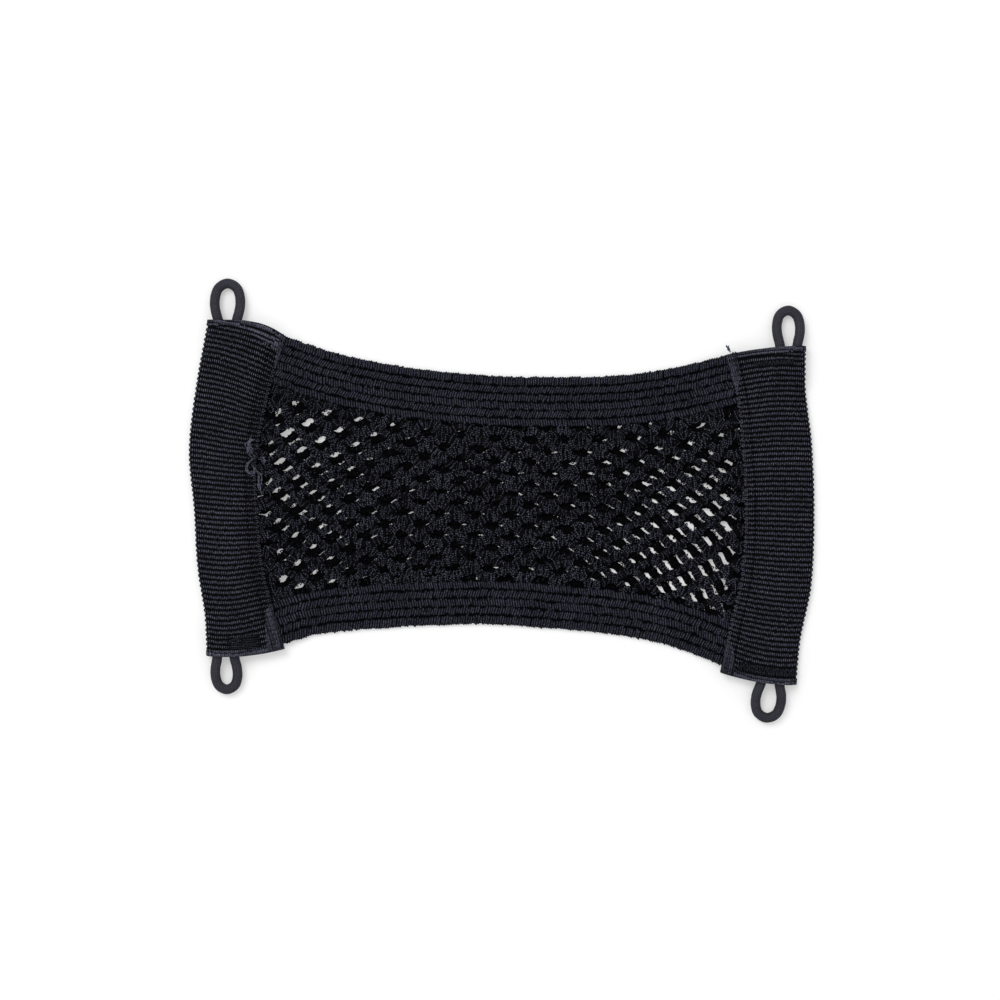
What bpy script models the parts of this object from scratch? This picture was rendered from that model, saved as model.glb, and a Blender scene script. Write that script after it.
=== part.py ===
"""A small elastic cargo net, lying flat.

Two layers of knitted elastic mesh lie between two ribbed elastic borders. At each end the
mesh and the borders run into a band of heavy ribbed webbing, which is folded over them.
A loop of shock cord stands out of both ends of each band, to go over a stud or a hook.

+X runs along the net, +Y across it, +Z up, and the net lies on z = 0.
The origin is under the centre of the whole net.
"""

import math
from collections import namedtuple

import bmesh
import bpy
from mathutils import Vector

MM = 0.001

# Cloth thicknesses, and the gap that every piece keeps to its neighbour.
GAP = 0.3 * MM
WEBBING = 1.4 * MM
MESH = 1.3 * MM
BORDER = 3.0 * MM
CORD_RADIUS = 2.5 * MM

# How far the mesh and the borders reach into a folded band, and how they come down to z = 0.
SEAM_DEPTH = 6.0 * MM
RAISED_BEYOND = 107.0 * MM
DOWN_WITHIN = 94.0 * MM
RAISED_BY = WEBBING + GAP

# Ribs: across the webbing, and along each border.
WEBBING_RIB = 2.5 * MM
WEBBING_RIB_DEPTH = 0.35 * MM
BORDER_RIB_DEPTH = 0.7 * MM
TOP_RIBS = 6
BOTTOM_RIBS = 5
TOP_WIDTH = 24.5 * MM
BOTTOM_WIDTH = 21.5 * MM
RIB_FLANK = 0.28

# Where the borders have a section, and how many straight runs a mesh layer's end has.
STATIONS = tuple(x * MM for x in (-107, -94, -80, -64, -46, -24, 0, 24, 46, 64, 80, 94, 107))
END_STEPS = 10

# How finely a point is sought along a curve, and how far apart its direction is read.
HALVINGS = 40
SHARE_STEP = 0.002

# The knitted mesh: eye-shaped holes in half-drop rows, a quarter wider apart than real ones.
# A hole's corners are shares of its half length and half height.
HOLE_PITCH = 20.8 * MM
HOLE_ROWS = 12
HOLE_LENGTH = 11.2 * MM
HOLE_SHARE = 0.53
HOLE_RIM = 2.0 * MM
HOLE_CORNERS = ((1, 0), (0.4, 1), (-0.4, 1), (-1, 0), (-0.4, -1), (0.4, -1))
BACK_SLIP_X = 9.4 * MM
BACK_SLIP_ROWS = 0.45

# Points closer than this are one, and faces that differ by less than this angle are one.
MERGE = 0.01 * MM
FLAT_ANGLE = math.radians(0.5)

# The webbing band: its fold, its hollow, and the room that a cord's two legs take at each end.
FOLD_DEPTH = 3.0 * MM
LOW_CEILING = 3.0 * MM
SEAM_CEILING = 5.0 * MM
CORD_CEILING = WEBBING + 2 * CORD_RADIUS + 2 * GAP
CORD_ROOM_HALF = 8.2 * MM
CORD_ROOM_FADE = 4.5 * MM
CORD_ROOM_LENGTH = 13.0 * MM
CORD_ROOM_END = 25.0 * MM
LEG_LENGTH = 11.0 * MM

# A band's section: shares of the way from the fold to the seam, and degrees round the fold.
SECTION_SHARES = (0.0, 0.09, 0.47, 0.68, 1.0)
FOLD_TURNS = (-36.0, 36.0)

# Shares of a band's length: where its hollow has a section, and how much of it each end takes.
HOLLOW_STATIONS = (0.0, 0.06, 0.1, 0.16, 0.25, 0.4, 0.5, 0.6, 0.75, 0.84, 0.9, 0.94, 1.0)
BAND_END = 0.2

# Millimetres. A band's rows run from its -Y end to its +Y end: the folded outer edge, then the
# open edge that takes the mesh.
BandRow = namedtuple("BandRow", "outer_x outer_y inner_x inner_y")
LEFT_BAND = (
    BandRow(-147.4, -77.3, -108.4, -74.0),
    BandRow(-148.4, -58.0, -114.0, -54.0),
    BandRow(-152.2, -33.0, -119.2, -30.0),
    BandRow(-153.9, -4.0, -121.6, -3.0),
    BandRow(-156.4, 25.0, -122.0, 20.0),
    BandRow(-152.9, 57.0, -115.8, 54.0),
    BandRow(-146.9, 90.2, -107.6, 81.8),
)
RIGHT_BAND = (
    BandRow(147.4, -91.9, 109.2, -85.8),
    BandRow(149.4, -70.0, 113.0, -66.0),
    BandRow(155.0, -42.0, 119.2, -38.0),
    BandRow(156.4, -6.0, 121.3, -6.0),
    BandRow(155.2, 28.0, 119.8, 26.0),
    BandRow(152.0, 56.0, 116.8, 53.0),
    BandRow(151.9, 77.0, 111.6, 72.6),
)
# How far the middle of each band's end stands out past a straight cut, at -Y and at +Y.
EndCrown = namedtuple("EndCrown", "low high")
LEFT_CROWN = EndCrown(1.8, 2.6)
RIGHT_CROWN = EndCrown(1.6, 1.2)

# Millimetres. The outer edge of each border, from -X to +X.
TOP_EDGE = (
    (-117.0, 85.6),
    (-106.0, 81.0),
    (-82.0, 73.0),
    (-46.0, 66.0),
    (-6.0, 62.0),
    (34.0, 61.3),
    (62.0, 62.4),
    (86.0, 65.9),
    (107.0, 70.8),
    (118.0, 74.0),
)
BOTTOM_EDGE = (
    (-116.0, -74.4),
    (-107.0, -70.6),
    (-94.0, -66.8),
    (-70.0, -63.9),
    (-40.0, -62.1),
    (-6.0, -61.3),
    (34.0, -64.2),
    (62.0, -67.2),
    (86.0, -72.7),
    (107.0, -80.6),
    (117.0, -84.2),
)

# Millimetres. A cord loop: where it leaves its band, its tip, the room between its legs there,
# and its width at the belly, all on the cord's centreline.
Loop = namedtuple("Loop", "name base_x base_y tip_x tip_y legs belly")
LOOPS = (
    Loop("loop_top_left", -136.7, 89.6, -136.7, 108.4, 9.2, 12.7),
    Loop("loop_bottom_left", -137.5, -78.4, -137.0, -94.2, 8.6, 11.0),
    Loop("loop_top_right", 143.1, 77.4, 143.0, 94.9, 8.6, 11.5),
    Loop("loop_bottom_right", 134.0, -91.2, 132.1, -108.4, 9.2, 12.6),
)
LOOP_STEPS = 24
# One side of a loop outside its band: shares of its depth, then of the way from the leg to the
# belly or from the middle to the belly.
LEG_SPREADS = ((0.26, 0.75), (0.56, 1.0))
TIP_SHOULDER = (0.87, 0.72)
# The cord comes down from the band to the floor within this share of its depth.
SINK_FROM = 0.1

Finish = namedtuple("Finish", "red green blue roughness")
WEBBING_BLACK = Finish(0.014, 0.014, 0.019, 0.78)
ELASTIC_BLACK = Finish(0.011, 0.011, 0.015, 0.80)
YARN_BLACK = Finish(0.009, 0.009, 0.012, 0.86)
CORD_CHARCOAL = Finish(0.045, 0.045, 0.050, 0.62)


def clear_scene():
    """Removes whatever the file opened with."""
    for old in list(bpy.data.objects):
        bpy.data.objects.remove(old, do_unlink=True)


def collection(name):
    """A new collection in the scene."""
    made = bpy.data.collections.new(name)
    bpy.context.scene.collection.children.link(made)
    return made


def material(name, finish):
    """A Principled material in one of the finishes above."""
    made = bpy.data.materials.new(name)
    made.use_nodes = True
    shader = made.node_tree.nodes["Principled BSDF"]
    shader.inputs["Base Color"].default_value = (finish.red, finish.green, finish.blue, 1.0)
    shader.inputs["Roughness"].default_value = finish.roughness
    shader.inputs["Metallic"].default_value = 0.0
    return made


def ease(share):
    """A smooth step from 0 to 1."""
    held = min(max(share, 0.0), 1.0)
    return held * held * (3.0 - 2.0 * held)


def along(points, share):
    """The point at a share of the length of a smooth curve through the points."""
    reach = [0.0]
    for before, after in zip(points, points[1:]):
        reach.append(reach[-1] + (after - before).length)
    target = min(max(share, 0.0), 1.0) * reach[-1]
    last = len(points) - 1
    i = min(next(k for k in range(1, last + 1) if target <= reach[k] or k == last), last) - 1

    def slope(k):
        low, high = max(k - 1, 0), min(k + 1, last)
        return (points[high] - points[low]) / (reach[high] - reach[low])

    span = reach[i + 1] - reach[i]
    t = (target - reach[i]) / span
    return (
        points[i] * (2 * t**3 - 3 * t**2 + 1)
        + slope(i) * span * (t**3 - 2 * t**2 + t)
        + points[i + 1] * (3 * t**2 - 2 * t**3)
        + slope(i + 1) * span * (t**3 - t**2)
    )


def flat_points(pairs):
    """Millimetre pairs as points at z = 0."""
    return [Vector((x * MM, y * MM, 0.0)) for x, y in pairs]


def raised(x):
    """How far the mesh and the borders are lifted at x, to pass over a band's lower layer."""
    share = (abs(x) - DOWN_WITHIN) / (RAISED_BEYOND - DOWN_WITHIN)
    return RAISED_BY * min(max(share, 0.0), 1.0)


def loft(name, rings, home, look, floor_points=0):
    """A closed solid whose skin joins equal rings of points, with a flat face at each end.

    Where the first floor_points of a ring lie on the floor under its last ones, the ends are
    closed by strips between the two, and the floor becomes one face.
    """
    shape = bmesh.new()
    made = [[shape.verts.new(point) for point in ring] for ring in rings]
    count = len(rings[0])
    floor = []
    for near, far in zip(made, made[1:]):
        for k in range(count):
            n = (k + 1) % count
            face = shape.faces.new((near[k], near[n], far[n], far[k]))
            if 0 < n < floor_points:
                floor.append(face)
    for ring in (made[0], made[-1]):
        low, high = 0, count - 1
        while low + 1 < floor_points:
            shape.faces.new((ring[low], ring[low + 1], ring[high - 1], ring[high]))
            low, high = low + 1, high - 1
        shape.faces.new(ring[low : high + 1])
    bmesh.ops.recalc_face_normals(shape, faces=shape.faces)
    if floor:
        bmesh.ops.dissolve_faces(shape, faces=floor, use_verts=True)
    mesh = bpy.data.meshes.new(name)
    shape.to_mesh(mesh)
    shape.free()
    mesh.materials.append(look)
    solid = bpy.data.objects.new(name, mesh)
    home.objects.link(solid)
    return solid


def loop_axes(loop):
    """Where a loop leaves its band, the way out to its tip, and the way across its legs."""
    base = Vector((loop.base_x * MM, loop.base_y * MM, 0.0))
    forward = (Vector((loop.tip_x * MM, loop.tip_y * MM, 0.0)) - base).normalized()
    return base, forward, Vector((-forward.y, forward.x, 0.0))


class Band:
    """A strip of ribbed webbing, folded lengthwise over the end of the net."""

    def __init__(self, rows, crown, loops):
        self.outer = flat_points((row.outer_x, row.outer_y) for row in rows)
        self.inner = flat_points((row.inner_x, row.inner_y) for row in rows)
        self.crown = crown
        self.loops = loops

    def length(self):
        """The length of the folded edge."""
        return sum((b - a).length for a, b in zip(self.outer, self.outer[1:]))

    def edges(self, v):
        """The folded and the open edge at a share v of the length."""
        return along(self.outer, v), along(self.inner, v)

    def point(self, inset, v):
        """A point at z = 0, a distance inset from the folded edge towards the open one."""
        outer, inner = self.edges(v)
        across = inner - outer
        share = inset / across.length
        high = self.crown.high * ease((v - 1.0 + BAND_END) / BAND_END)
        low = self.crown.low * ease((BAND_END - v) / BAND_END)
        swell = 4.0 * share * (1.0 - share)
        return outer + across * share + Vector((0.0, (high - low) * swell * MM, 0.0))

    def width(self, v):
        """The distance from the folded to the open edge."""
        outer, inner = self.edges(v)
        return (inner - outer).length

    def seam_x(self, y):
        """The x, at y, of the line inside the fold where the mesh and the borders end."""
        low, high = 0.0, 1.0
        for _ in range(HALVINGS):
            middle = (low + high) / 2
            if along(self.inner, middle).y < y:
                low = middle
            else:
                high = middle
        open_x = along(self.inner, low).x
        return open_x + math.copysign(SEAM_DEPTH - GAP, open_x)

    def ceiling(self, inset, v):
        """The height of the underside of the upper layer."""
        seam = self.width(v) - SEAM_DEPTH
        height = LOW_CEILING + (SEAM_CEILING - LOW_CEILING) * ease(inset / seam)
        here = self.point(inset, v)
        for loop in self.loops:
            base, forward, sideways = loop_axes(loop)
            aside = abs((here - base).dot(sideways))
            inwards = -(here - base).dot(forward)
            beside = 1.0 - ease((aside - CORD_ROOM_HALF) / CORD_ROOM_FADE)
            fade = (inwards - CORD_ROOM_LENGTH) / (CORD_ROOM_END - CORD_ROOM_LENGTH)
            height += (CORD_CEILING - height) * beside * (1.0 - ease(fade))
        return height

    def insets(self, v):
        """Where a section's points lie, from the fold to the open edge."""
        width = self.width(v)
        run = width - SEAM_DEPTH - FOLD_DEPTH
        return [FOLD_DEPTH + share * run for share in SECTION_SHARES] + [width]

    def outer_ring(self, v, rib):
        """The skin's points at v: along the floor, round the fold, and back over the top."""
        insets = self.insets(v)
        tops = [self.ceiling(inset, v) + WEBBING - WEBBING_RIB_DEPTH + rib for inset in insets]
        ring = [self.point(inset, v) for inset in reversed(insets)]
        half = tops[0] / 2
        for turn in FOLD_TURNS:
            reach = (FOLD_DEPTH - WEBBING_RIB_DEPTH + rib) * math.cos(math.radians(turn))
            side = self.point(FOLD_DEPTH - reach, v)
            side.z = half * (1.0 + math.sin(math.radians(turn)))
            ring.append(side)
        for inset, top in zip(insets, tops):
            over = self.point(inset, v)
            over.z = top
            ring.append(over)
        return ring

    def hollow_ring(self, v, along_y):
        """The room inside the fold at v, moved along Y to run out past the band's end."""
        insets = self.insets(v)
        past_open_edge = insets[-1] + 2 * SEAM_DEPTH
        floor = [self.point(past_open_edge, v), self.point(insets[0], v)]
        side = self.point(WEBBING + GAP, v)
        side.z = (WEBBING + self.ceiling(insets[0], v)) / 2
        roof = [self.point(inset, v) for inset in insets[:-1] + [past_open_edge]]
        for point in floor:
            point.z = WEBBING
        for point, inset in zip(roof, insets):
            point.z = self.ceiling(inset, v)
        return [point + Vector((0.0, along_y, 0.0)) for point in floor + [side] + roof]

    def build(self, name, home, cutters, look):
        """The ribbed, folded band as one solid, open along its inner edge and at both ends."""
        ribs = round(self.length() / WEBBING_RIB)
        rows = 2 * ribs
        band = loft(
            name,
            [self.outer_ring(k / rows, WEBBING_RIB_DEPTH * (k % 2)) for k in range(rows + 1)],
            home,
            look,
            floor_points=len(SECTION_SHARES) + 1,
        )
        rings = [self.hollow_ring(0.0, -SEAM_DEPTH)]
        rings += [self.hollow_ring(v, 0.0) for v in HOLLOW_STATIONS]
        rings += [self.hollow_ring(1.0, SEAM_DEPTH)]
        hollow = loft(name + "_hollow", rings, cutters, look)
        hollow.hide_render = True
        hollow.display_type = "WIRE"
        cut = band.modifiers.new("hollow", "BOOLEAN")
        cut.operation = "DIFFERENCE"
        cut.object = hollow
        return band


class Border:
    """A ribbed elastic along one long side of the net."""

    def __init__(self, edge, width, ribs, inwards, left, right):
        self.edge = flat_points(edge)
        self.width = width
        self.ribs = ribs
        self.inwards = inwards
        self.left = left
        self.right = right

    def point(self, share, inset):
        """A point at z = 0, a distance inset from the outer edge towards the mesh."""
        ahead = along(self.edge, min(share + SHARE_STEP, 1.0))
        heading = (ahead - along(self.edge, max(share - SHARE_STEP, 0.0))).normalized()
        side = Vector((-heading.y, heading.x, 0.0)) * self.inwards
        return along(self.edge, share) + side * inset

    def crossing(self, inset, limit):
        """The point of the line at that inset where it reaches x = limit(y)."""
        low, high = 0.0, 1.0
        for _ in range(HALVINGS):
            middle = (low + high) / 2
            here = self.point(middle, inset)
            if here.x < limit(here.y):
                low = middle
            else:
                high = middle
        return self.point(low, inset)

    def end(self, band, inset):
        """The point at that inset of the border's straight end inside a band."""
        outer = self.crossing(0.0, band.seam_x)
        inner = self.crossing(self.width, band.seam_x)
        return outer.lerp(inner, inset / self.width)

    def line(self, inset):
        """The points of the line at that inset, from the left band's seam to the right one's."""
        middle = [self.crossing(inset, lambda y, x=x: x) for x in STATIONS]
        return [self.end(self.left, inset)] + middle + [self.end(self.right, inset)]

    def build(self, name, home, look):
        """The border as one solid: flat below, ribbed above, and lifted at both ends."""
        pitch = self.width / self.ribs
        groove = BORDER - BORDER_RIB_DEPTH
        profile = [(self.width, 0.0), (0.0, 0.0)]
        for rib in range(self.ribs):
            profile.append((rib * pitch, groove))
            profile.append(((rib + RIB_FLANK) * pitch, BORDER))
            profile.append(((rib + 1.0 - RIB_FLANK) * pitch, BORDER))
        profile.append((self.width, groove))
        lines = []
        for inset, height in profile:
            line = self.line(inset)
            for point in line:
                point.z = height + raised(point.x)
            lines.append(line)
        return loft(name, [list(ring) for ring in zip(*lines)], home, look)


class Mesh:
    """One layer of the knitted mesh, between the two borders and inside the two bands."""

    def __init__(self, left, right, top, bottom):
        self.left = left
        self.right = right
        self.top = top
        self.bottom = bottom

    def side(self, border, x):
        """The y of the mesh's edge beside a border, at x."""
        return border.crossing(border.width + GAP, lambda y: x).y

    def outline(self):
        """The mesh's own edge, anticlockwise from its lower left."""
        low = self.bottom.line(self.bottom.width + GAP)
        high = self.top.line(self.top.width + GAP)
        steps = [k / END_STEPS for k in range(1, END_STEPS)]
        right = [low[-1].y + (high[-1].y - low[-1].y) * step for step in steps]
        left = [high[0].y + (low[0].y - high[0].y) * step for step in steps]
        return (
            low
            + [Vector((self.right.seam_x(y), y, 0.0)) for y in right]
            + list(reversed(high))
            + [Vector((self.left.seam_x(y), y, 0.0)) for y in left]
        )

    def holes(self, slip_x, slip_rows):
        """Six-sided holes in half-drop rows that follow the two borders."""
        found = []
        columns = round(RAISED_BEYOND / HOLE_PITCH) + 2
        for row in range(-1, HOLE_ROWS + 1):
            for column in range(-columns, columns + 1):
                x = (column + 0.5 * (row % 2)) * HOLE_PITCH + slip_x
                low, high = self.side(self.bottom, x), self.side(self.top, x)
                pitch = (high - low) / HOLE_ROWS
                y = low + (row + 0.5 + slip_rows) * pitch
                half = HOLE_SHARE * pitch
                if not self.clear(x, y, half, low, high):
                    continue
                reach = HOLE_LENGTH / 2
                found.append([Vector((x + a * reach, y + b * half, 0.0)) for a, b in HOLE_CORNERS])
        return found

    def clear(self, x, y, half, low, high):
        """Whether a hole at x, y leaves a rim of mesh inside the edges."""
        if y - half < low + HOLE_RIM or y + half > high - HOLE_RIM:
            return False
        reach = HOLE_LENGTH / 2 + HOLE_RIM
        levels = (y - half, y, y + half)
        left = max(self.left.seam_x(level) for level in levels)
        right = min(self.right.seam_x(level) for level in levels)
        return left + reach < x < right - reach

    def build(self, name, base, slip_x, slip_rows, home, look):
        """One mesh layer as a solid whose underside is at height base, lifted at its ends."""
        shape = bpy.data.curves.new(name, "CURVE")
        shape.dimensions = "2D"
        shape.fill_mode = "BOTH"
        shape.extrude = MESH / 2
        for ring in [self.outline()] + self.holes(slip_x, slip_rows):
            spline = shape.splines.new("POLY")
            spline.points.add(len(ring) - 1)
            for point, place in zip(spline.points, ring):
                point.co = (place.x, place.y, 0.0, 1.0)
            spline.use_cyclic_u = True
        flat = bpy.data.objects.new(name + "_flat", shape)
        home.objects.link(flat)
        sheet = bpy.data.meshes.new_from_object(
            flat.evaluated_get(bpy.context.evaluated_depsgraph_get())
        )
        bpy.data.objects.remove(flat, do_unlink=True)
        self.lift(sheet, base)
        sheet.name = name
        sheet.materials.clear()
        sheet.materials.append(look)
        layer = bpy.data.objects.new(name, sheet)
        home.objects.link(layer)
        return layer

    def lift(self, sheet, base):
        """Cuts the sheet across where it bends, then raises it to its height."""
        work = bmesh.new()
        work.from_mesh(sheet)
        bmesh.ops.remove_doubles(work, verts=work.verts, dist=MERGE)
        bmesh.ops.dissolve_limit(work, angle_limit=FLAT_ANGLE, verts=work.verts, edges=work.edges)
        for x in (-RAISED_BEYOND, -DOWN_WITHIN, DOWN_WITHIN, RAISED_BEYOND):
            parts = list(work.verts) + list(work.edges) + list(work.faces)
            bmesh.ops.bisect_plane(
                work, geom=parts, dist=MERGE / 10, plane_co=(x, 0, 0), plane_no=(1, 0, 0)
            )
        for vert in work.verts:
            vert.co.z += base + MESH / 2 + raised(vert.co.x)
        bmesh.ops.triangulate(work, faces=work.faces)
        bmesh.ops.recalc_face_normals(work, faces=work.faces)
        work.to_mesh(sheet)
        work.free()


def loop_path(loop):
    """The cord's centreline: up one leg from inside the band, round the tip and back."""
    base, forward, sideways = loop_axes(loop)
    depth = math.dist((loop.base_x, loop.base_y), (loop.tip_x, loop.tip_y)) * MM
    half_legs, half_belly = loop.legs * MM / 2, loop.belly * MM / 2
    leg = [(half_legs, -LEG_LENGTH), (half_legs, -LEG_LENGTH / 2), (half_legs, 0.0)]
    for out, spread in LEG_SPREADS:
        leg.append((half_legs + spread * (half_belly - half_legs), out * depth))
    leg.append((TIP_SHOULDER[1] * half_belly, TIP_SHOULDER[0] * depth))
    plan = leg + [(0.0, depth)] + [(-side, out) for side, out in reversed(leg)]
    path = []
    for side, out in plan:
        lift = RAISED_BY * (1.0 - ease((out / depth - SINK_FROM) / (1.0 - SINK_FROM)))
        flat = base + sideways * side + forward * out
        path.append(flat + Vector((0.0, 0.0, CORD_RADIUS + lift)))
    return path


def build_loop(loop, home, look):
    """One cord loop as a round tube along its path."""
    shape = bpy.data.curves.new(loop.name, "CURVE")
    shape.dimensions = "3D"
    shape.bevel_depth = CORD_RADIUS
    shape.bevel_resolution = 2
    shape.use_fill_caps = True
    spline = shape.splines.new("POLY")
    spline.points.add(LOOP_STEPS)
    path = loop_path(loop)
    for k, point in enumerate(spline.points):
        point.co = (*along(path, k / LOOP_STEPS), 1.0)
    shape.materials.append(look)
    cord = bpy.data.objects.new(loop.name, shape)
    home.objects.link(cord)
    return cord


def main():
    """Builds every piece of the net in one collection, with the cutters in another."""
    clear_scene()
    net = collection("cargo_net")
    cutters = collection("cutters")
    webbing = material("webbing", WEBBING_BLACK)
    elastic = material("elastic_border", ELASTIC_BLACK)
    yarn = material("knitted_mesh", YARN_BLACK)
    cord = material("shock_cord", CORD_CHARCOAL)

    left = Band(LEFT_BAND, LEFT_CROWN, [loop for loop in LOOPS if loop.base_x < 0])
    right = Band(RIGHT_BAND, RIGHT_CROWN, [loop for loop in LOOPS if loop.base_x > 0])
    left.build("webbing_left", net, cutters, webbing)
    right.build("webbing_right", net, cutters, webbing)

    top = Border(TOP_EDGE, TOP_WIDTH, TOP_RIBS, -1, left, right)
    bottom = Border(BOTTOM_EDGE, BOTTOM_WIDTH, BOTTOM_RIBS, 1, left, right)
    top.build("border_top", net, elastic)
    bottom.build("border_bottom", net, elastic)

    mesh = Mesh(left, right, top, bottom)
    mesh.build("mesh_back", 0.0, BACK_SLIP_X, BACK_SLIP_ROWS, net, yarn)
    mesh.build("mesh_front", MESH + GAP, 0.0, 0.0, net, yarn)

    for loop in LOOPS:
        build_loop(loop, net, cord)


main()
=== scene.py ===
"""The looks of a small elastic cargo net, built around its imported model.

Two layers of knitted mesh lie between two ribbed elastic borders. Both ends run into a folded
band of heavy ribbed webbing, and a loop of shock cord stands out of each end of both bands.
Sizes here are in millimetres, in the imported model's frame: +X along the net, +Y across it, +Z up.
"""

import logging
import math
from dataclasses import dataclass
from enum import Enum

import bpy
import numpy as np
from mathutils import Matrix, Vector


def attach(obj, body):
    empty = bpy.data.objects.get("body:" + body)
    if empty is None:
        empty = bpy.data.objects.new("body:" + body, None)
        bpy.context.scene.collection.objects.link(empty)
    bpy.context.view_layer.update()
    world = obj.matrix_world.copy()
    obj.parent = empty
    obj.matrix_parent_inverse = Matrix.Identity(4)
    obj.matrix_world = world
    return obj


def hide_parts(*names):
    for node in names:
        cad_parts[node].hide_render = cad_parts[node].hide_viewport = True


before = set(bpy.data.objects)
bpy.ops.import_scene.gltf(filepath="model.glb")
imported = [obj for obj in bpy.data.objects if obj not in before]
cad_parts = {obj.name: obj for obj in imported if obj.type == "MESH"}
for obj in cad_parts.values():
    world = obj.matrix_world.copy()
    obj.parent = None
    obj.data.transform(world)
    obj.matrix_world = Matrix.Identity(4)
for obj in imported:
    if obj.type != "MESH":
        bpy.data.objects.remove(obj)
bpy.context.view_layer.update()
LOG = logging.getLogger("cargo_net")

MM = 0.001
TAU = 2.0 * math.pi
BODY = "root"
Array = np.ndarray

# Thicknesses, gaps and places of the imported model, in millimetres.
GAP = 0.3
WEBBING = 1.4
CORD_RADIUS = 2.5
SEAM_DEPTH = 6.0
RAISED_BEYOND = 107.0
DOWN_WITHIN = 94.0
RAISED_BY = WEBBING + GAP

# The knitted mesh between its borders and bands: its middle, and half its length and width.
NET_MIDDLE = (0.2, -1.2)
NET_HALF = (120.0, 47.5)


# --------------------------------------------------------------------------- lines and surfaces


def ease(share: Array) -> Array:
    """A smooth step from 0 to 1."""
    held = np.clip(share, 0.0, 1.0)
    return held * held * (3.0 - 2.0 * held)


def wave(turns: Array) -> Array:
    """How high a round thread stands at so many pitches: 0 between two threads, 1 on one."""
    return np.abs(np.sin(math.pi * np.asarray(turns)))


def raised(x: Array) -> Array:
    """How far the mesh and the borders are lifted at x, to pass over a band's lower layer."""
    return RAISED_BY * np.clip((np.abs(x) - DOWN_WITHIN) / (RAISED_BEYOND - DOWN_WITHIN), 0.0, 1.0)


def unit(ways: Array) -> Array:
    """The same ways, each of length 1."""
    return ways / np.maximum(np.linalg.norm(ways, axis=-1, keepdims=True), 1e-6)


def run_along(line: Array) -> Array:
    """The length along a line of points up to each of them."""
    return np.concatenate([[0.0], np.cumsum(np.linalg.norm(np.diff(line, axis=0), axis=1))])


def read_line(at: Array, run: Array, line: Array) -> Array:
    """The points at lengths along a line of points, where run is the length up to each."""
    return np.stack([np.interp(at, run, column) for column in line.T], axis=1)


def repeated(steps: tuple[float, ...], count: int) -> Array:
    """The same steps inside each of so many units, then the end of the last unit."""
    return np.append(np.arange(count)[:, None] + np.array(steps), float(count))


def rings_along(path: Array, turn: Array, widen: Array | float = 1.0) -> Array:
    """The ways out from a line of points to a ring round each, of radius 1.

    Args:
        path: The line's points.
        turn: The angle of each point of a ring, from the line's right side.
        widen: How many times wider than high the rings are, at each point or all along.

    Returns:
        An array of the line's points by the ring's by 3.
    """
    ahead = unit(np.gradient(path, axis=0))
    up = unit(np.array([0.0, 0.0, 1.0]) - ahead * ahead[:, 2:3])
    side = np.cross(ahead, up) * np.broadcast_to(widen, len(path))[:, None]
    return side[:, None] * np.cos(turn)[:, None] + up[:, None] * np.sin(turn)[:, None]


class Line:
    """A smooth line through points, read by its share of the length."""

    def __init__(self, points: object) -> None:
        """Takes the points and works out the slopes at them.

        Args:
            points: The points in order, each of two or three numbers.
        """
        self.points = np.array(points, float)
        self.reach = run_along(self.points)
        self.length = float(self.reach[-1])
        number = np.arange(len(self.points))
        low, high = np.maximum(number - 1, 0), np.minimum(number + 1, number[-1])
        span = (self.reach[high] - self.reach[low])[:, None]
        self.slopes = (self.points[high] - self.points[low]) / span

    def at(self, share: Array) -> Array:
        """The points at shares of the length.

        Args:
            share: Shares from 0 to 1, in an array of any shape.

        Returns:
            The points, in an array of that shape with one more axis.
        """
        target = np.clip(share, 0.0, 1.0) * self.reach[-1]
        k = np.clip(np.searchsorted(self.reach, target) - 1, 0, len(self.reach) - 2)
        span = (self.reach[k + 1] - self.reach[k])[..., None]
        t = (target - self.reach[k])[..., None] / span
        return (
            self.points[k] * (2 * t**3 - 3 * t**2 + 1)
            + self.slopes[k] * span * (t**3 - 2 * t**2 + t)
            + self.points[k + 1] * (3 * t**2 - 2 * t**3)
            + self.slopes[k + 1] * span * (t**3 - t**2)
        )


def put(name: str, data: bpy.types.ID) -> bpy.types.Object:
    """Adds an object to the scene.

    Args:
        name: Its name.
        data: Its mesh, lamp or camera.

    Returns:
        The object.
    """
    made = bpy.data.objects.new(name, data)
    bpy.context.scene.collection.objects.link(made)
    return made


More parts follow.
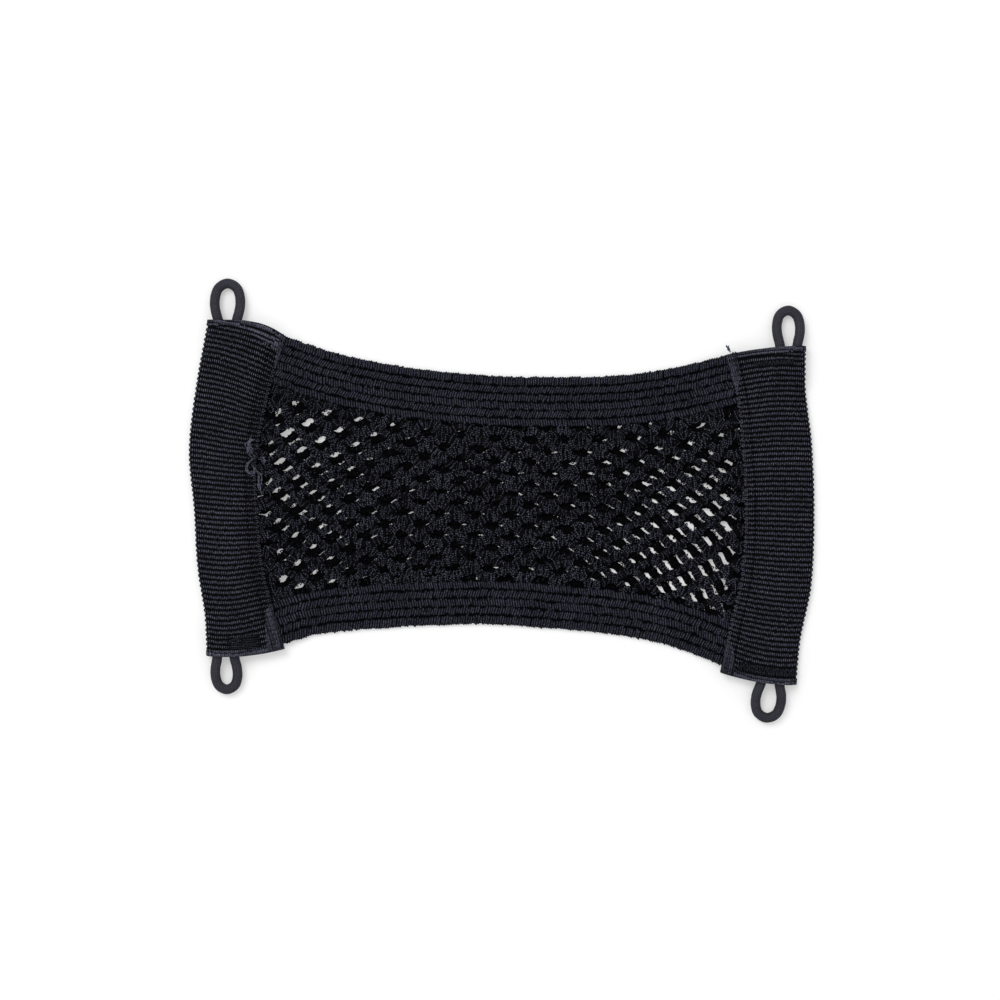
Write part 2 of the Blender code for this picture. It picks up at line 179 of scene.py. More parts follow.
class Cloth:
    """Points, faces and cloth coordinates gathered from several parts into one mesh."""

    def __init__(self) -> None:
        """Starts empty."""
        self.points: list[Array] = []
        self.places: list[Array] = []
        self.quads: list[Array] = []
        self.others: list[tuple[int, ...]] = []
        self.count = 0

    def add_grid(self, points: Array, places: Array, closed: bool = False, flip: bool = False) -> int:
        """Adds a grid of points with its quads.

        Args:
            points: Millimetres, rows by columns by 3.
            places: Where each lies on the cloth, two numbers in millimetres.
            closed: Whether it is a tube, its last column joined to its first and its ends capped.
            flip: Whether its faces are turned over.

        Returns:
            The number of the first point added.
        """
        rows, columns = points.shape[:2]
        start = self.count
        self.points.append(points.reshape(-1, 3))
        self.places.append(places.reshape(-1, 2))
        self.count += rows * columns
        index = np.arange(start, self.count).reshape(rows, columns)
        if closed:
            for ring, turned in ((index[0], not flip), (index[-1], flip)):
                self.others.append(tuple(ring[::-1] if turned else ring))
            index = np.concatenate([index, index[:, :1]], axis=1)
        corners = (index[:-1, :-1], index[:-1, 1:], index[1:, 1:], index[1:, :-1])
        quads = np.stack([corner.ravel() for corner in corners], axis=1)
        self.quads.append(quads[:, ::-1] if flip else quads)
        return start

    def add_tube(
        self,
        path: Array,
        radius: Array,
        sides: int,
        lane: Array,
        rise: float = 0.0,
        widen: Array | float = 1.0,
        smooth_at: float | None = None,
    ) -> None:
        """Adds a closed tube of thread, a flat side up, with a flat cap at each end.

        Args:
            path: The centre line's points.
            radius: The radius at each of them.
            sides: Points round the tube.
            lane: The second cloth coordinate at each of them; the first is the way along.
            rise: How much the second coordinate grows for each millimetre above the centre line, so
                that a finish can paint shade on a thread's underside.
            widen: How many times wider than high the thread is, at each point or all along.
            smooth_at: The first cloth coordinate all along, for a thread that shows no beads.
        """
        turn = TAU * (0.25 + (np.arange(sides) + 0.5) / sides)
        ring = rings_along(path, turn, widen) * radius[:, None, None]
        run = run_along(path) if smooth_at is None else np.full(len(path), smooth_at)
        across = lane[:, None] + rise * ring[..., 2]
        places = np.stack([np.broadcast_to(run[:, None], across.shape), across], axis=-1)
        self.add_grid(path[:, None] + ring, places, closed=True)

    def make(self, node: str, ending: str, finish: bpy.types.Material) -> bpy.types.Object:
        """Makes the object, riding on the net's body in place of a node.

        Args:
            node: The node that it stands for, which its name begins with.
            ending: The rest of its name.
            finish: Its material.

        Returns:
            The new object.
        """
        name = f"{node}_{ending}"
        points = np.concatenate(self.points) * MM
        faces = np.concatenate(self.quads).tolist()
        mesh = bpy.data.meshes.new(name)
        mesh.from_pydata(points.tolist(), [], faces + [list(face) for face in self.others])
        corners = np.zeros(len(mesh.loops), np.int32)
        mesh.loops.foreach_get("vertex_index", corners)
        layer = mesh.uv_layers.new(name="cloth_mm")
        layer.data.foreach_set("uv", np.concatenate(self.places)[corners].astype(np.float32).ravel())
        mesh.materials.append(finish)
        mesh.shade_smooth()
        mesh.validate()
        piece = put(name, mesh)
        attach(piece, BODY)
        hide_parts(node)
        triangles = 2 * len(faces) + sum(len(face) - 2 for face in self.others)
        LOG.info("%s: %d triangles", name, triangles)
        return piece


# --------------------------------------------------------------------------- finishes


def linear(hex_colour: str) -> tuple[float, float, float, float]:
    """Turns a hex colour linear.

    Args:
        hex_colour: An sRGB colour such as "#1d1d22".

    Returns:
        Linear red, green and blue, and 1.
    """
    parts = [int(hex_colour[k : k + 2], 16) / 255.0 for k in (1, 3, 5)]
    channels = [p / 12.92 if p <= 0.04045 else ((p + 0.055) / 1.055) ** 2.4 for p in parts]
    return (*channels, 1.0)


def add_node(tree: bpy.types.NodeTree, kind: str, settings: dict, inputs: dict) -> bpy.types.Node:
    """Adds a shader node.

    Args:
        tree: The material's node tree.
        kind: The node's type name, after "ShaderNode".
        settings: Its own properties.
        inputs: Its sockets by name or number, each a value or another node's output socket.

    Returns:
        The node.
    """
    node = tree.nodes.new("ShaderNode" + kind)
    for key, value in settings.items():
        setattr(node, key, value)
    for key, value in inputs.items():
        if isinstance(value, bpy.types.NodeSocket):
            tree.links.new(value, node.inputs[key])
        else:
            node.inputs[key].default_value = value
    return node


@dataclass(frozen=True)
class Threads:
    """Threads side by side: their pitch, and how high on one its colour starts and is full.

    Heights run from 0 in the gap between two threads to 1 on a crest; the gap's colour is
    painted shade. A start below 0 leaves some of the thread's colour in the gap.
    """

    pitch: float
    start: float
    full: float


@dataclass(frozen=True)
class YarnFinish:
    """A dyed yarn cloth: the colour of its threads, the painted shade in the gaps between them, and its
    gloss.

    The fibre and the dye patch are the sizes of its fine and its broad unevenness.
    """

    name: str
    thread: str
    gap: str
    worn: str
    along: Threads
    across: Threads
    fuzz: float
    grain: float
    roughness: float = 0.9
    gloss: float = 0.02
    fibre: float = 0.7
    dye_patch: float = 14.0
    fuzz_height: float = 0.15

    def build(self) -> bpy.types.Material:
        """Makes the material.

        The colour darkens to the gap colour, painted shade, between threads, varies in soft patches
        as dye takes unevenly, and fine fibre noise breaks up both colour and bump.

        Returns:
            The material.
        """
        made = bpy.data.materials.new(self.name)
        made.use_nodes = True
        tree = made.node_tree
        shader = tree.nodes["Principled BSDF"]
        shader.inputs["Roughness"].default_value = self.roughness
        shader.inputs["Specular IOR Level"].default_value = self.gloss

        cloth = add_node(tree, "UVMap", {"uv_map": "cloth_mm"}, {})
        place = add_node(tree, "SeparateXYZ", {}, {0: cloth.outputs[0]})
        one = self.thread_and_shade_mask(tree, place.outputs[0], self.along)
        other = self.thread_and_shade_mask(tree, place.outputs[1], self.across)
        mask = add_node(tree, "Math", {"operation": "MULTIPLY"}, {0: one, 1: other}).outputs[0]

        where = add_node(tree, "TexCoord", {}, {}).outputs["Object"]
        fine = {"Vector": where, "Scale": 1.0 / (self.fibre * MM), "Detail": 2.0}
        broad = {"Vector": where, "Scale": 1.0 / (self.dye_patch * MM), "Detail": 3.0}
        fibre = add_node(tree, "TexNoise", {}, fine).outputs[0]
        patches = add_node(tree, "TexNoise", {}, broad).outputs[0]
        tone = add_node(tree, "MapRange", {}, {0: patches, 1: 0.35, 2: 0.65}).outputs[0]
        dyed = {0: tone, 6: linear(self.thread), 7: linear(self.worn)}
        threads = add_node(tree, "Mix", {"data_type": "RGBA"}, dyed).outputs[2]
        spread = {0: fibre, 1: 0.3, 2: 0.7, 3: 1.0 - self.grain, 4: 1.0 + self.grain}
        grain = add_node(tree, "MapRange", {}, spread).outputs[0]
        speckled = add_node(tree, "VectorMath", {"operation": "SCALE"}, {0: threads, "Scale": grain})
        # The gap colour is painted shade: between threads and ribs, and under the knitted yarn.
        woven = {0: mask, 6: linear(self.gap), 7: speckled.outputs[0]}
        colour = add_node(tree, "Mix", {"data_type": "RGBA"}, woven)
        raising = {"Strength": self.fuzz, "Distance": self.fuzz_height * MM, "Height": fibre}
        bump = add_node(tree, "Bump", {}, raising)
        tree.links.new(colour.outputs[2], shader.inputs["Base Color"])
        tree.links.new(bump.outputs[0], shader.inputs["Normal"])
        return made

    def thread_and_shade_mask(
        self, tree: bpy.types.NodeTree, value: bpy.types.NodeSocket, threads: Threads
    ) -> bpy.types.NodeSocket:
        """Adds a mask over threads side by side, for the painted shade between them.

        Args:
            tree: The material's node tree.
            value: The cloth coordinate that runs across the threads.
            threads: The threads.

        Returns:
            A socket that is 0 in the gap between two threads and 1 on a thread's crest.
        """
        scale = {0: value, 1: math.pi / threads.pitch}
        turn = add_node(tree, "Math", {"operation": "MULTIPLY"}, scale)
        sine = add_node(tree, "Math", {"operation": "SINE"}, {0: turn.outputs[0]})
        height = add_node(tree, "Math", {"operation": "ABSOLUTE"}, {0: sine.outputs[0]})
        limits = {0: height.outputs[0], 1: threads.start, 2: threads.full}
        return add_node(tree, "MapRange", {"interpolation_type": "SMOOTHSTEP"}, limits).outputs[0]


# Polyester webbing, woven with raised weft ribs: dull black with cool grey threads on its ribs,
# and the broad gaps between the ribs painted dark as shade.
WEBBING_FINISH = YarnFinish(
    name="polyester_ribbed_webbing",
    thread="#434550",
    gap="#08080a",
    worn="#4e4f5c",
    along=Threads(0.9, 0.55, 1.0),
    across=Threads(2.5, 0.42, 1.1),
    fuzz=0.5,
    grain=0.9,
)
# Covered rubber elastic, warp knitted in cords: flat dull ribs with a thin line of painted shade between.
ELASTIC_FINISH = YarnFinish(
    name="covered_rubber_elastic",
    thread="#2b2c35",
    gap="#040406",
    worn="#32333d",
    along=Threads(1.2, 0.3, 1.05),
    across=Threads(4.2, 0.05, 0.66),
    fuzz=0.6,
    grain=0.95,
)
# Textured nylon yarn, knitted: knotty, the fuzziest, with no gloss to speak of. Across, its
# coordinate is the height in the layer, so that the yarn darkens towards the underside as painted shade.
YARN_FINISH = YarnFinish(
    name="textured_nylon_yarn",
    thread="#393a44",
    gap="#060608",
    worn="#444551",
    along=Threads(1.16, 0.1, 1.05),
    across=Threads(2.84, 0.5, 1.0),
    fuzz=0.7,
    grain=1.0,
)
# Braided polyester cover of shock cord: charcoal and smoother, so it looks lighter and even, with a
# little painted shade between its carriers.
CORD_FINISH = YarnFinish(
    name="braided_cord_cover",
    thread="#303037",
    gap="#1c1c22",
    worn="#36363d",
    along=Threads(1.1, -1.0, 1.0),
    across=Threads(1.309, -0.6, 0.9),
    fuzz=0.35,
    grain=0.45,
    roughness=0.6,
    gloss=0.06,
    fibre=0.5,
)


# --------------------------------------------------------------------------- cord loops


@dataclass(frozen=True)
class CordLoop:
    """A loop of shock cord: where it leaves its band, its tip, and its widths on the centreline."""

    name: str
    base_x: float
    base_y: float
    tip_x: float
    tip_y: float
    legs: float
    belly: float
    leg_length: float = 11.0
    steps: int = 24
    ring_gap: float = 0.42
    sides: int = 36
    carriers: int = 12
    braid_depth: float = 0.10
    braid_length: float = 5.6

    def axes(self) -> tuple[Array, Array, Array]:
        """The loop's own frame on the floor plan.

        Returns:
            Where it leaves its band, the way out to its tip, and the way across its legs.
        """
        base = np.array([self.base_x, self.base_y])
        forward = unit(np.array([self.tip_x, self.tip_y]) - base)
        return base, forward, np.array([-forward[1], forward[0]])

    def path(self) -> Array:
        """The cord's centreline.

        Returns:
            Points from the end of one leg inside the band, round the tip and back.
        """
        base, forward, sideways = self.axes()
        depth = math.dist((self.base_x, self.base_y), (self.tip_x, self.tip_y))
        half_legs, half_belly = self.legs / 2, self.belly / 2
        leg = [(half_legs, -self.leg_length), (half_legs, -self.leg_length / 2), (half_legs, 0.0)]
        for out, spread in ((0.26, 0.75), (0.56, 1.0)):
            leg.append((half_legs + spread * (half_belly - half_legs), out * depth))
        leg.append((0.72 * half_belly, 0.87 * depth))
        plan = leg + [(0.0, depth)] + [(-side, out) for side, out in reversed(leg)]
        path = []
        for side, out in plan:
            lift = RAISED_BY * (1.0 - float(ease((out / depth - 0.1) / 0.9)))
            flat = base + sideways * side + forward * out
            path.append((flat[0], flat[1], CORD_RADIUS + 0.02 + lift))
        return Line(path).at(np.arange(self.steps + 1) / self.steps)

    def build(self, finish: bpy.types.Material) -> bpy.types.Object:
        """Makes the loop, its cover braided from crossing carriers of yarn.

        Args:
            finish: The material.

        Returns:
            The piece.
        """
        line = Line(self.path())
        rings = int(line.length / self.ring_gap)
        path = line.at(np.arange(rings + 1) / rings)
        run = np.linspace(0.0, line.length, rings + 1)[:, None]
        turn = TAU * np.arange(self.sides) / self.sides
        around, along = self.carriers / 2 * turn / TAU, self.carriers / 2 * run / self.braid_length
        crossing = np.maximum(wave(around + along), wave(around - along)) ** 2
        radius = CORD_RADIUS - self.braid_depth + crossing * self.braid_depth
        points = path[:, None] + rings_along(path, turn) * radius[..., None]
        places = np.stack(np.broadcast_arrays(run, turn * CORD_RADIUS), axis=-1)
        cloth = Cloth()
        cloth.add_grid(points, places, closed=True, flip=True)
        return cloth.make(self.name, "cord", finish)


LOOPS = (
    CordLoop("loop_top_left", -136.7, 89.6, -136.7, 108.4, 9.2, 12.7),
    CordLoop("loop_bottom_left", -137.5, -78.4, -137.0, -94.2, 8.6, 11.0),
    CordLoop("loop_top_right", 143.1, 77.4, 143.0, 94.9, 8.6, 11.5),
    CordLoop("loop_bottom_right", 134.0, -91.2, 132.1, -108.4, 9.2, 12.6),
)


# --------------------------------------------------------------------------- webbing bands


@dataclass(frozen=True)
class Selvedge:
    """A smooth strip at a band's open edge, near one end, where the ribs stop short."""

    high: bool
    wide: float
    long: float


@dataclass(frozen=True)
class Tack:
    """A dense zigzag of thread sewn through a band near one end, in shares of its width."""

    high: bool
    first: float
    last: float
    near: float
    far: float
    across: bool = False


@dataclass(frozen=True)
class LooseYarn:
    """A frayed bundle of yarn ends: the line it follows, its strands and how far they stray."""

    line: tuple[tuple[float, float, float], ...]
    strands: int
    stray: float
    radius: float = 0.28


@dataclass(eq=False)
class Band:
    """A strip of ribbed webbing, folded lengthwise over the end of the net.

    Its rows run from its -Y end to its +Y end, each with X and Y of the folded outer edge and of
    the open inner one. The bow table says how many ribs the real ribs run ahead of straight lines
    between the two edges, at the bow's stations along it and five shares of the way from the fold.
    """

    name: str
    rows: tuple[tuple[float, float, float, float], ...]
    crown_low: float
    crown_high: float
    loops: tuple[CordLoop, ...]
    bow_rows: tuple[tuple[float, ...], ...]
    selvedges: tuple[Selvedge, ...]
    tacks: tuple[Tack, ...]
    tangles: tuple[LooseYarn, ...]
    seed: int
    # Painted shade on the ribs: in a pulled-in stretch of the open edge, and along the open edge.
    pulled_in_shade: tuple[float, float, float] | None = None
    hem_flare: float = 0.0
    crown_skew: float = 0.0
    edge_shade: float = 0.2
    edge_shade_width: float = 14.0
    edge_light: float = 0.31
    tack_light: float = 0.21
    ribs: int = 67
    rib_depth: float = 0.7
    rib_sharpness: float = 1.4
    rib_slack: float = 0.05
    spare_ribs: int = 3
    bead: float = 0.9
    bead_depth: float = 0.25
    bead_slack: float = 0.07
    flattened: float = 0.85
    fold: float = 3.0
    rib_pitch: float = 2.5
    low_ceiling: float = 3.0
    seam_ceiling: float = 5.0
    cord_room_half: float = 8.2
    cord_room_fade: float = 4.5
    cord_room_length: float = 13.0
    cord_room_end: float = 25.0
    end_share: float = 0.2
    hem: float = 3.0
    hem_depth: float = 0.3
    edge_drop: float = 0.55
    edge_roll: float = 1.4
    seam_inset: float = 5.3
    seam_dip: float = 0.5
    seam_reach: float = 0.7
    thread: float = 0.25
    jag: float = 0.05
    tack_stitch: float = 0.6
    tack_stitch_across: float = 0.5
    edge_yarn_pitch: float = 1.05
    rib_steps: tuple[float, ...] = (0.0, 0.1, 0.26, 0.5, 0.74, 0.9)
    bead_steps: tuple[float, ...] = (0.0, 0.34, 0.66)
    bow_stations: tuple[float, ...] = (0.0, 0.1, 0.2, 0.35, 0.5, 0.65, 0.8, 0.9, 1.0)
    bow_fade: float = 3.0
    under_columns: int = 40
    fold_columns: int = 13
    lining_columns: int = 12

    def __post_init__(self) -> None:
        """Works out the lines that the rest is read from."""
        table = np.array(self.rows)
        self.outer, self.inner = Line(table[:, :2]), Line(table[:, 2:])
        self.mirrored = bool(table[0, 2] > 0)
        self.mean_width = float(self.width(np.array(0.5)))
        self.random = np.random.default_rng(self.seed)

    def width(self, v: Array) -> Array:
        """The distance from the folded to the open edge."""
        return np.linalg.norm(self.inner.at(v) - self.outer.at(v), axis=-1)

    def plan(self, share: Array, v: Array) -> Array:
        """Where the band lies on the floor plan, its ends crowned.

        Args:
            share: Shares of the width, from the fold.
            v: Shares of the length, from the -Y end.

        Returns:
            X and Y of each place.
        """
        outer, inner = self.outer.at(v), self.inner.at(v)
        high = self.crown_high * ease((v - 1.0 + self.end_share) / self.end_share)
        low = self.crown_low * ease((self.end_share - v) / self.end_share)
        place = outer + (inner - outer) * share[..., None]
        skewed = 1.0 + self.crown_skew * (share - 0.5)
        place[..., 1] += (high * skewed - low) * 4.0 * share * (1.0 - share)
        return place

    def seam_x(self, y: Array) -> Array:
        """The x, at y, of the line inside the fold where the mesh and the borders end."""
        steps = self.inner.at(np.linspace(0.0, 1.0, 400))
        return np.interp(y, steps[:, 1], steps[:, 0]) + math.copysign(SEAM_DEPTH - GAP, self.rows[0][2])

    def ceiling(self, share: Array, v: Array) -> Array:
        """How high the underside of the upper layer is: higher over the cords.

        Args:
            share: Shares of the width, from the fold.
            v: Shares of the length, from the -Y end.

        Returns:
            Millimetres above the table.
        """
        width = self.width(v)
        rise = ease(share * width / (width - SEAM_DEPTH))
        height = self.low_ceiling + (self.seam_ceiling - self.low_ceiling) * rise
        cord_ceiling = WEBBING + 2 * CORD_RADIUS + 2 * GAP
        here = self.plan(share, v)
        for loop in self.loops:
            base, forward, sideways = loop.axes()
            aside = np.abs((here - base) @ sideways)
            inwards = -((here - base) @ forward)
            beside = 1.0 - ease((aside - self.cord_room_half) / self.cord_room_fade)
            run = (inwards - self.cord_room_length) / (self.cord_room_end - self.cord_room_length)
            height = height + (cord_ceiling - height) * beside * (1.0 - ease(run))
        return height

    def bow(self, share: Array, v: Array) -> Array:
        """How many ribs the real ribs run ahead at a place.

        Args:
            share: Shares of the width, from the fold.
            v: Shares of the length, from the -Y end.

        Returns:
            Ribs, from the bow table: a quartic across the band and straight lines along it.
        """
        knots = np.linspace(0.0, 1.0, 5)
        total = np.zeros(np.broadcast(share, v).shape)
        for k, column in enumerate(zip(*self.bow_rows)):
            weight = np.ones_like(total)
            for j, knot in enumerate(knots):
                if j != k:
                    weight = weight * (share - knot) / (knots[k] - knot)
            total += weight * np.interp(v, self.bow_stations, column)
        return total

    def rib_place(self, share: Array, rib: Array) -> Array:
        """Where along the band a rib passes.

        Args:
            share: Shares of the width, from the fold.
            rib: Ribs from the -Y end.

        Returns:
            Shares of the length.
        """
        straight = rib / self.ribs
        v = straight
        for _ in range(4):
            fade = ease(v * self.ribs / self.bow_fade) * ease((1.0 - v) * self.ribs / self.bow_fade)
            v = straight - self.bow(share, v) * fade / self.ribs
        return v

    def build(self, finish: bpy.types.Material) -> bpy.types.Object:
        """Makes the folded band: ribs of beaded warp outside, plain inside, closed at its edges.

        Args:
            finish: The material.

        Returns:
            The piece.
        """
        beads = round(self.mean_width / self.bead)
        fold_share = self.fold / self.mean_width
        under = np.linspace(1.0, fold_share, self.under_columns)
        turn = np.radians(np.linspace(-80.0, 80.0, self.fold_columns))
        top = repeated(self.bead_steps, beads) / beads
        top = top[top > fold_share]

        # Columns run from the lower open edge, round the fold, to the upper open edge.
        sides = (len(under), len(top))
        lift = np.pad((1.0 + np.sin(turn)) / 2, sides, constant_values=(0.0, 1.0))
        out_flat = np.pad(-np.cos(turn), sides)
        out_up = np.pad(np.sin(turn), sides, constant_values=(-1.0, 1.0))
        column_share = np.concatenate([under, fold_share * (1.0 - np.cos(turn)), top])
        round_fold = np.linspace(-self.fold, self.fold, self.fold_columns + 2)[1:-1]
        travel = np.concatenate([-self.mean_width * under, round_fold, self.mean_width * top])
        bead = travel / self.bead
        share, rib = np.meshgrid(column_share, repeated(self.rib_steps, self.ribs))
        v = self.rib_place(share, rib)
        real_rib = v * self.ribs + self.bow(share, v)
        relief = self.relief(real_rib, bead, share, v)
        ground = self.plan(share + relief * out_flat / self.mean_width, v)
        height = lift * (self.ceiling(share, v) + WEBBING) + relief * out_up
        height = self.rolled(share, lift, height)
        points = np.concatenate([ground, np.maximum(height, 0.0)[..., None]], axis=-1)

        # Cloth coordinates: beads across and ribs along, both in millimetres of their pitch.
        jagged = real_rib + self.per_bead(real_rib, bead, self.jag)
        lane = self.rib_pitch * self.shown_rib(jagged, share, v, lift)
        on_bead = (np.floor(bead) + 0.5) * self.bead - travel
        shown_travel = travel + on_bead * self.flattened * self.plain(share, v)
        places = np.stack(np.broadcast_arrays(shown_travel, lane), axis=-1)
        cloth = Cloth()
        skin = cloth.add_grid(points, places, flip=not self.mirrored)
        self.add_lining(cloth, skin, points, places)
        self.add_edge_loops(cloth)
        for tack in self.tacks:
            self.add_tack(cloth, tack)
        for selvedge in self.selvedges:
            self.add_edge_yarns(cloth, selvedge)
        for tangle in self.tangles:
            self.add_tangle(cloth, tangle)
        return cloth.make(self.name, "cloth", finish)

    def relief(self, rib: Array, bead: Array, share: Array, v: Array) -> Array:
        """How far the skin stands out of the webbing's own thickness, which is its highest rib.

        Args:
            rib: Ribs from the -Y end.
            bead: Warp yarns from the fold.
            share: Shares of the width.
            v: Shares of the length.

        Returns:
            Millimetres, 0 on the highest rib and less in grooves.
        """
        height = wave(rib) ** self.rib_sharpness
        number = self.rib_number(rib)
        slack = self.random.normal(0.0, self.rib_slack, self.ribs + 2 * self.spare_ribs)[number]
        uneven = self.per_bead(rib, bead, self.bead_slack) + slack
        crest = np.clip(height * (1.0 + uneven), 0.0, 1.05)
        plain = self.plain(share, v)
        ribs = (crest - 1.0) * self.rib_depth * (1.0 - self.flattened * plain)
        beads = self.bead_depth * (1.0 - 0.8 * plain) * (1.0 - wave(bead) ** 0.8)
        return ribs - beads * (0.25 + 0.75 * height) - self.hem_depth * self.hem_line(share, v)

    def rib_number(self, rib: Array) -> Array:
        """The number of the rib at a rib coordinate, which can be a little past either end."""
        number = np.floor(rib).astype(int) + self.spare_ribs
        return np.clip(number, 0, self.ribs + 2 * self.spare_ribs - 1)

    def per_bead(self, rib: Array, bead: Array, spread: float) -> Array:
        """A value that differs at random from bead to bead on each rib.

        Args:
            rib: Ribs from the -Y end.
            bead: Warp yarns from the fold.
            spread: How much it differs.

        Returns:
            The value at each place.
        """
        number = np.floor(bead).astype(int)
        number = number - number.min()
        grid = (self.ribs + 2 * self.spare_ribs, number.max() + 1)
        values = self.random.normal(0.0, spread, grid)
        return values[self.rib_number(rib), number]

    def from_end(self, v: Array, high: bool) -> Array:
        """The way from one end of the band, in millimetres."""
        return (1.0 - v if high else v) * self.outer.length

    def at_end(self, way: Array, high: bool) -> Array:
        """The share of the length at a way from one end of the band."""
        return 1.0 - way / self.outer.length if high else way / self.outer.length

    def flare(self, share: Array) -> Array:
        """How much wider the hem at the +Y end grows towards the open edge."""
        return self.hem_flare * ease((share - 0.25) / 0.7)

    def past_hem(self, share: Array, v: Array) -> Array:
        """The way from the nearer hem's inner side, towards the middle of the band."""
        return np.minimum(self.from_end(v, True) - self.flare(share), self.from_end(v, False)) - self.hem

    def plain(self, share: Array, v: Array) -> Array:
        """Where the cloth lies smooth, its ribs pressed flat.

        Args:
            share: Shares of the width, from the fold.
            v: Shares of the length, from the -Y end.

        Returns:
            1 in the hems and the selvedges, and 0 on the ribs.
        """
        mask = 1.0 - ease((self.past_hem(share, v) + 0.3) / 0.6)
        to_edge = (1.0 - share) * self.width(v)
        for strip in self.selvedges:
            left_over = np.clip(1.0 - self.from_end(v, strip.high) / strip.long, 0.0, 1.0)
            wide = strip.wide * left_over**0.4
            mask = np.maximum(mask, (1.0 - ease((to_edge - wide + 0.4) / 0.8)) * ease(wide))
        return mask

    def hem_line(self, share: Array, v: Array) -> Array:
        """How much the stitching on a hem's inner side pulls the cloth in: 1 on it."""
        aside = (self.past_hem(share, v) - 0.3) / 0.35
        return np.exp(-(aside**2)) / (1.0 + self.flare(share))

    def seam_line(self, share: Array, v: Array) -> Array:
        """How much the seam along the open edge pulls the cloth in, shown as a groove's painted shade.

        Args:
            share: Shares of the width, from the fold.
            v: Shares of the length, from the -Y end.

        Returns:
            Up to 1 on the seam, uneven along it.
        """
        aside = ((1.0 - share) * self.width(v) - self.seam_inset) / 0.5
        strength = 0.7 + 0.3 * np.sin(23.0 * v + self.seed) * np.sin(9.0 * v)
        return strength * np.exp(-(aside**2))

    def shown_rib(self, rib: Array, share: Array, v: Array, lift: Array) -> Array:
        """The rib coordinate that the finish reads.

        Smooth cloth shows nearly a crest's colour all over, and stitch lines show a groove's
        painted shade. On the upper layer the ribs darken where pressed says: painted shade at the
        open edge and in a pulled-in stretch of it, and darker ribs under a tack.

        Args:
            rib: Ribs from the -Y end.
            share: Shares of the width.
            v: Shares of the length.
            lift: 0 on the lower layer and 1 on the upper one.

        Returns:
            The coordinate, a crest at each half.
        """
        flank = np.floor(rib) + 0.25
        shown = rib + (flank - rib) * 0.75 * self.plain(share, v)
        upper = lift > 0.9
        line = np.maximum(self.hem_line(share, v), self.seam_line(share, v) * upper)
        shown = shown + (np.round(shown) - shown) * 0.9 * line
        dim = np.round(shown) + np.where(shown > np.round(shown), 0.17, -0.17)
        return shown + (dim - shown) * self.pressed(share, v) * upper

    def pressed(self, share: Array, v: Array) -> Array:
        """Where the ribs' colour is darkened towards a groove's: painted shade along the open edge and
        in a pulled-in stretch of it, and darker ribs under a tack; the shape stays as it is.

        Args:
            share: Shares of the width, from the fold.
            v: Shares of the length, from the -Y end.

        Returns:
            1 where the ribs are flat.
        """
        width = self.width(v)
        inwards = (1.0 - share) * width
        near_edge = ease(1.0 - inwards / self.edge_shade_width)
        mask = self.edge_shade * near_edge * (1.0 - self.plain(share, v))
        for tack in self.tacks:
            way = self.from_end(v, tack.high)
            along = ease((way - tack.near + 0.5) / 0.5) * ease((tack.far + 0.5 - way) / 0.5)
            first, last = (share - tack.first) * width, (tack.last - share) * width
            mask = np.maximum(mask, along * ease(first + 0.5) * ease(last + 0.5))
        if self.pulled_in_shade:
            low, high, depth = self.pulled_in_shade
            y = self.plan(share, v)[..., 1]
            inside = ease(y - low) * ease(high - y)
            mask = np.maximum(mask, inside * ease(depth - inwards))
        return mask

    def rolled(self, share: Array, lift: Array, height: Array) -> Array:
        """Turns the upper layer down a little at its open edge and dips it along its seam.

        Args:
            share: Shares of the width, from the fold.
            lift: 0 on the lower layer and 1 on the upper one.
            height: The heights before that.

        Returns:
            The heights after it.
        """
        to_edge = (1.0 - share) * self.mean_width
        edge = self.edge_drop * (1.0 - ease(to_edge / self.edge_roll))
        seam = self.seam_dip * np.exp(-(((to_edge - self.seam_inset) / self.seam_reach) ** 2))
        return height - (edge + seam) * np.clip(lift * 2.0 - 1.0, 0.0, 1.0)

    def on_top(self, share: Array, v: Array, above: float) -> Array:
        """Points just above the upper layer.

        Args:
            share: Shares of the width, from the fold.
            v: Shares of the length, from the -Y end.
            above: How far above.

        Returns:
            The points.
        """
        share, v = np.broadcast_arrays(np.asarray(share, float), np.asarray(v, float))
        height = self.ceiling(share.clip(0.0, 1.0), v) + WEBBING
        height = self.rolled(share, np.ones_like(height), height) + above
        return np.concatenate([self.plan(share, v), height[..., None]], axis=-1)

    def sew(self, cloth: Cloth, corners: Array, radius: float, steps: int, light: float) -> None:
        """Lays a plain thread from point to point.

        Args:
            cloth: The mesh that it goes into.
            corners: The points.
            radius: The thread's radius.
            steps: How many parts each stretch between two points has.
            light: How light it is, 0.5 being the lightest.
        """
        at = np.arange((len(corners) - 1) * steps + 1) / steps
        path = read_line(at, np.arange(len(corners)), corners)
        lane = np.full(len(path), self.rib_pitch * light)
        cloth.add_tube(path, np.full(len(path), radius), 4, lane, smooth_at=self.bead / 2)

    def add_edge_loops(self, cloth: Cloth) -> None:
        """Adds the weft that turns down from each rib to the next at the open edge.

        Args:
            cloth: The mesh that it goes into.
        """
        inset = np.array([1.5, 0.5, -0.25, 0.4, 1.3])
        down = 0.45 * np.array([-0.3, -0.2, 0.1, 0.7, 1.0])
        for rib in range(3, self.ribs - 3):
            jitter = self.random.normal(0.0, 0.12, 2)
            share = 1.0 - (inset + jitter[0]) / float(self.width(np.array(rib / self.ribs)))
            v = self.rib_place(share, rib + 0.5 + jitter[1] + down)
            self.sew(cloth, self.on_top(share, v, 0.05), self.thread, 1, self.edge_light)

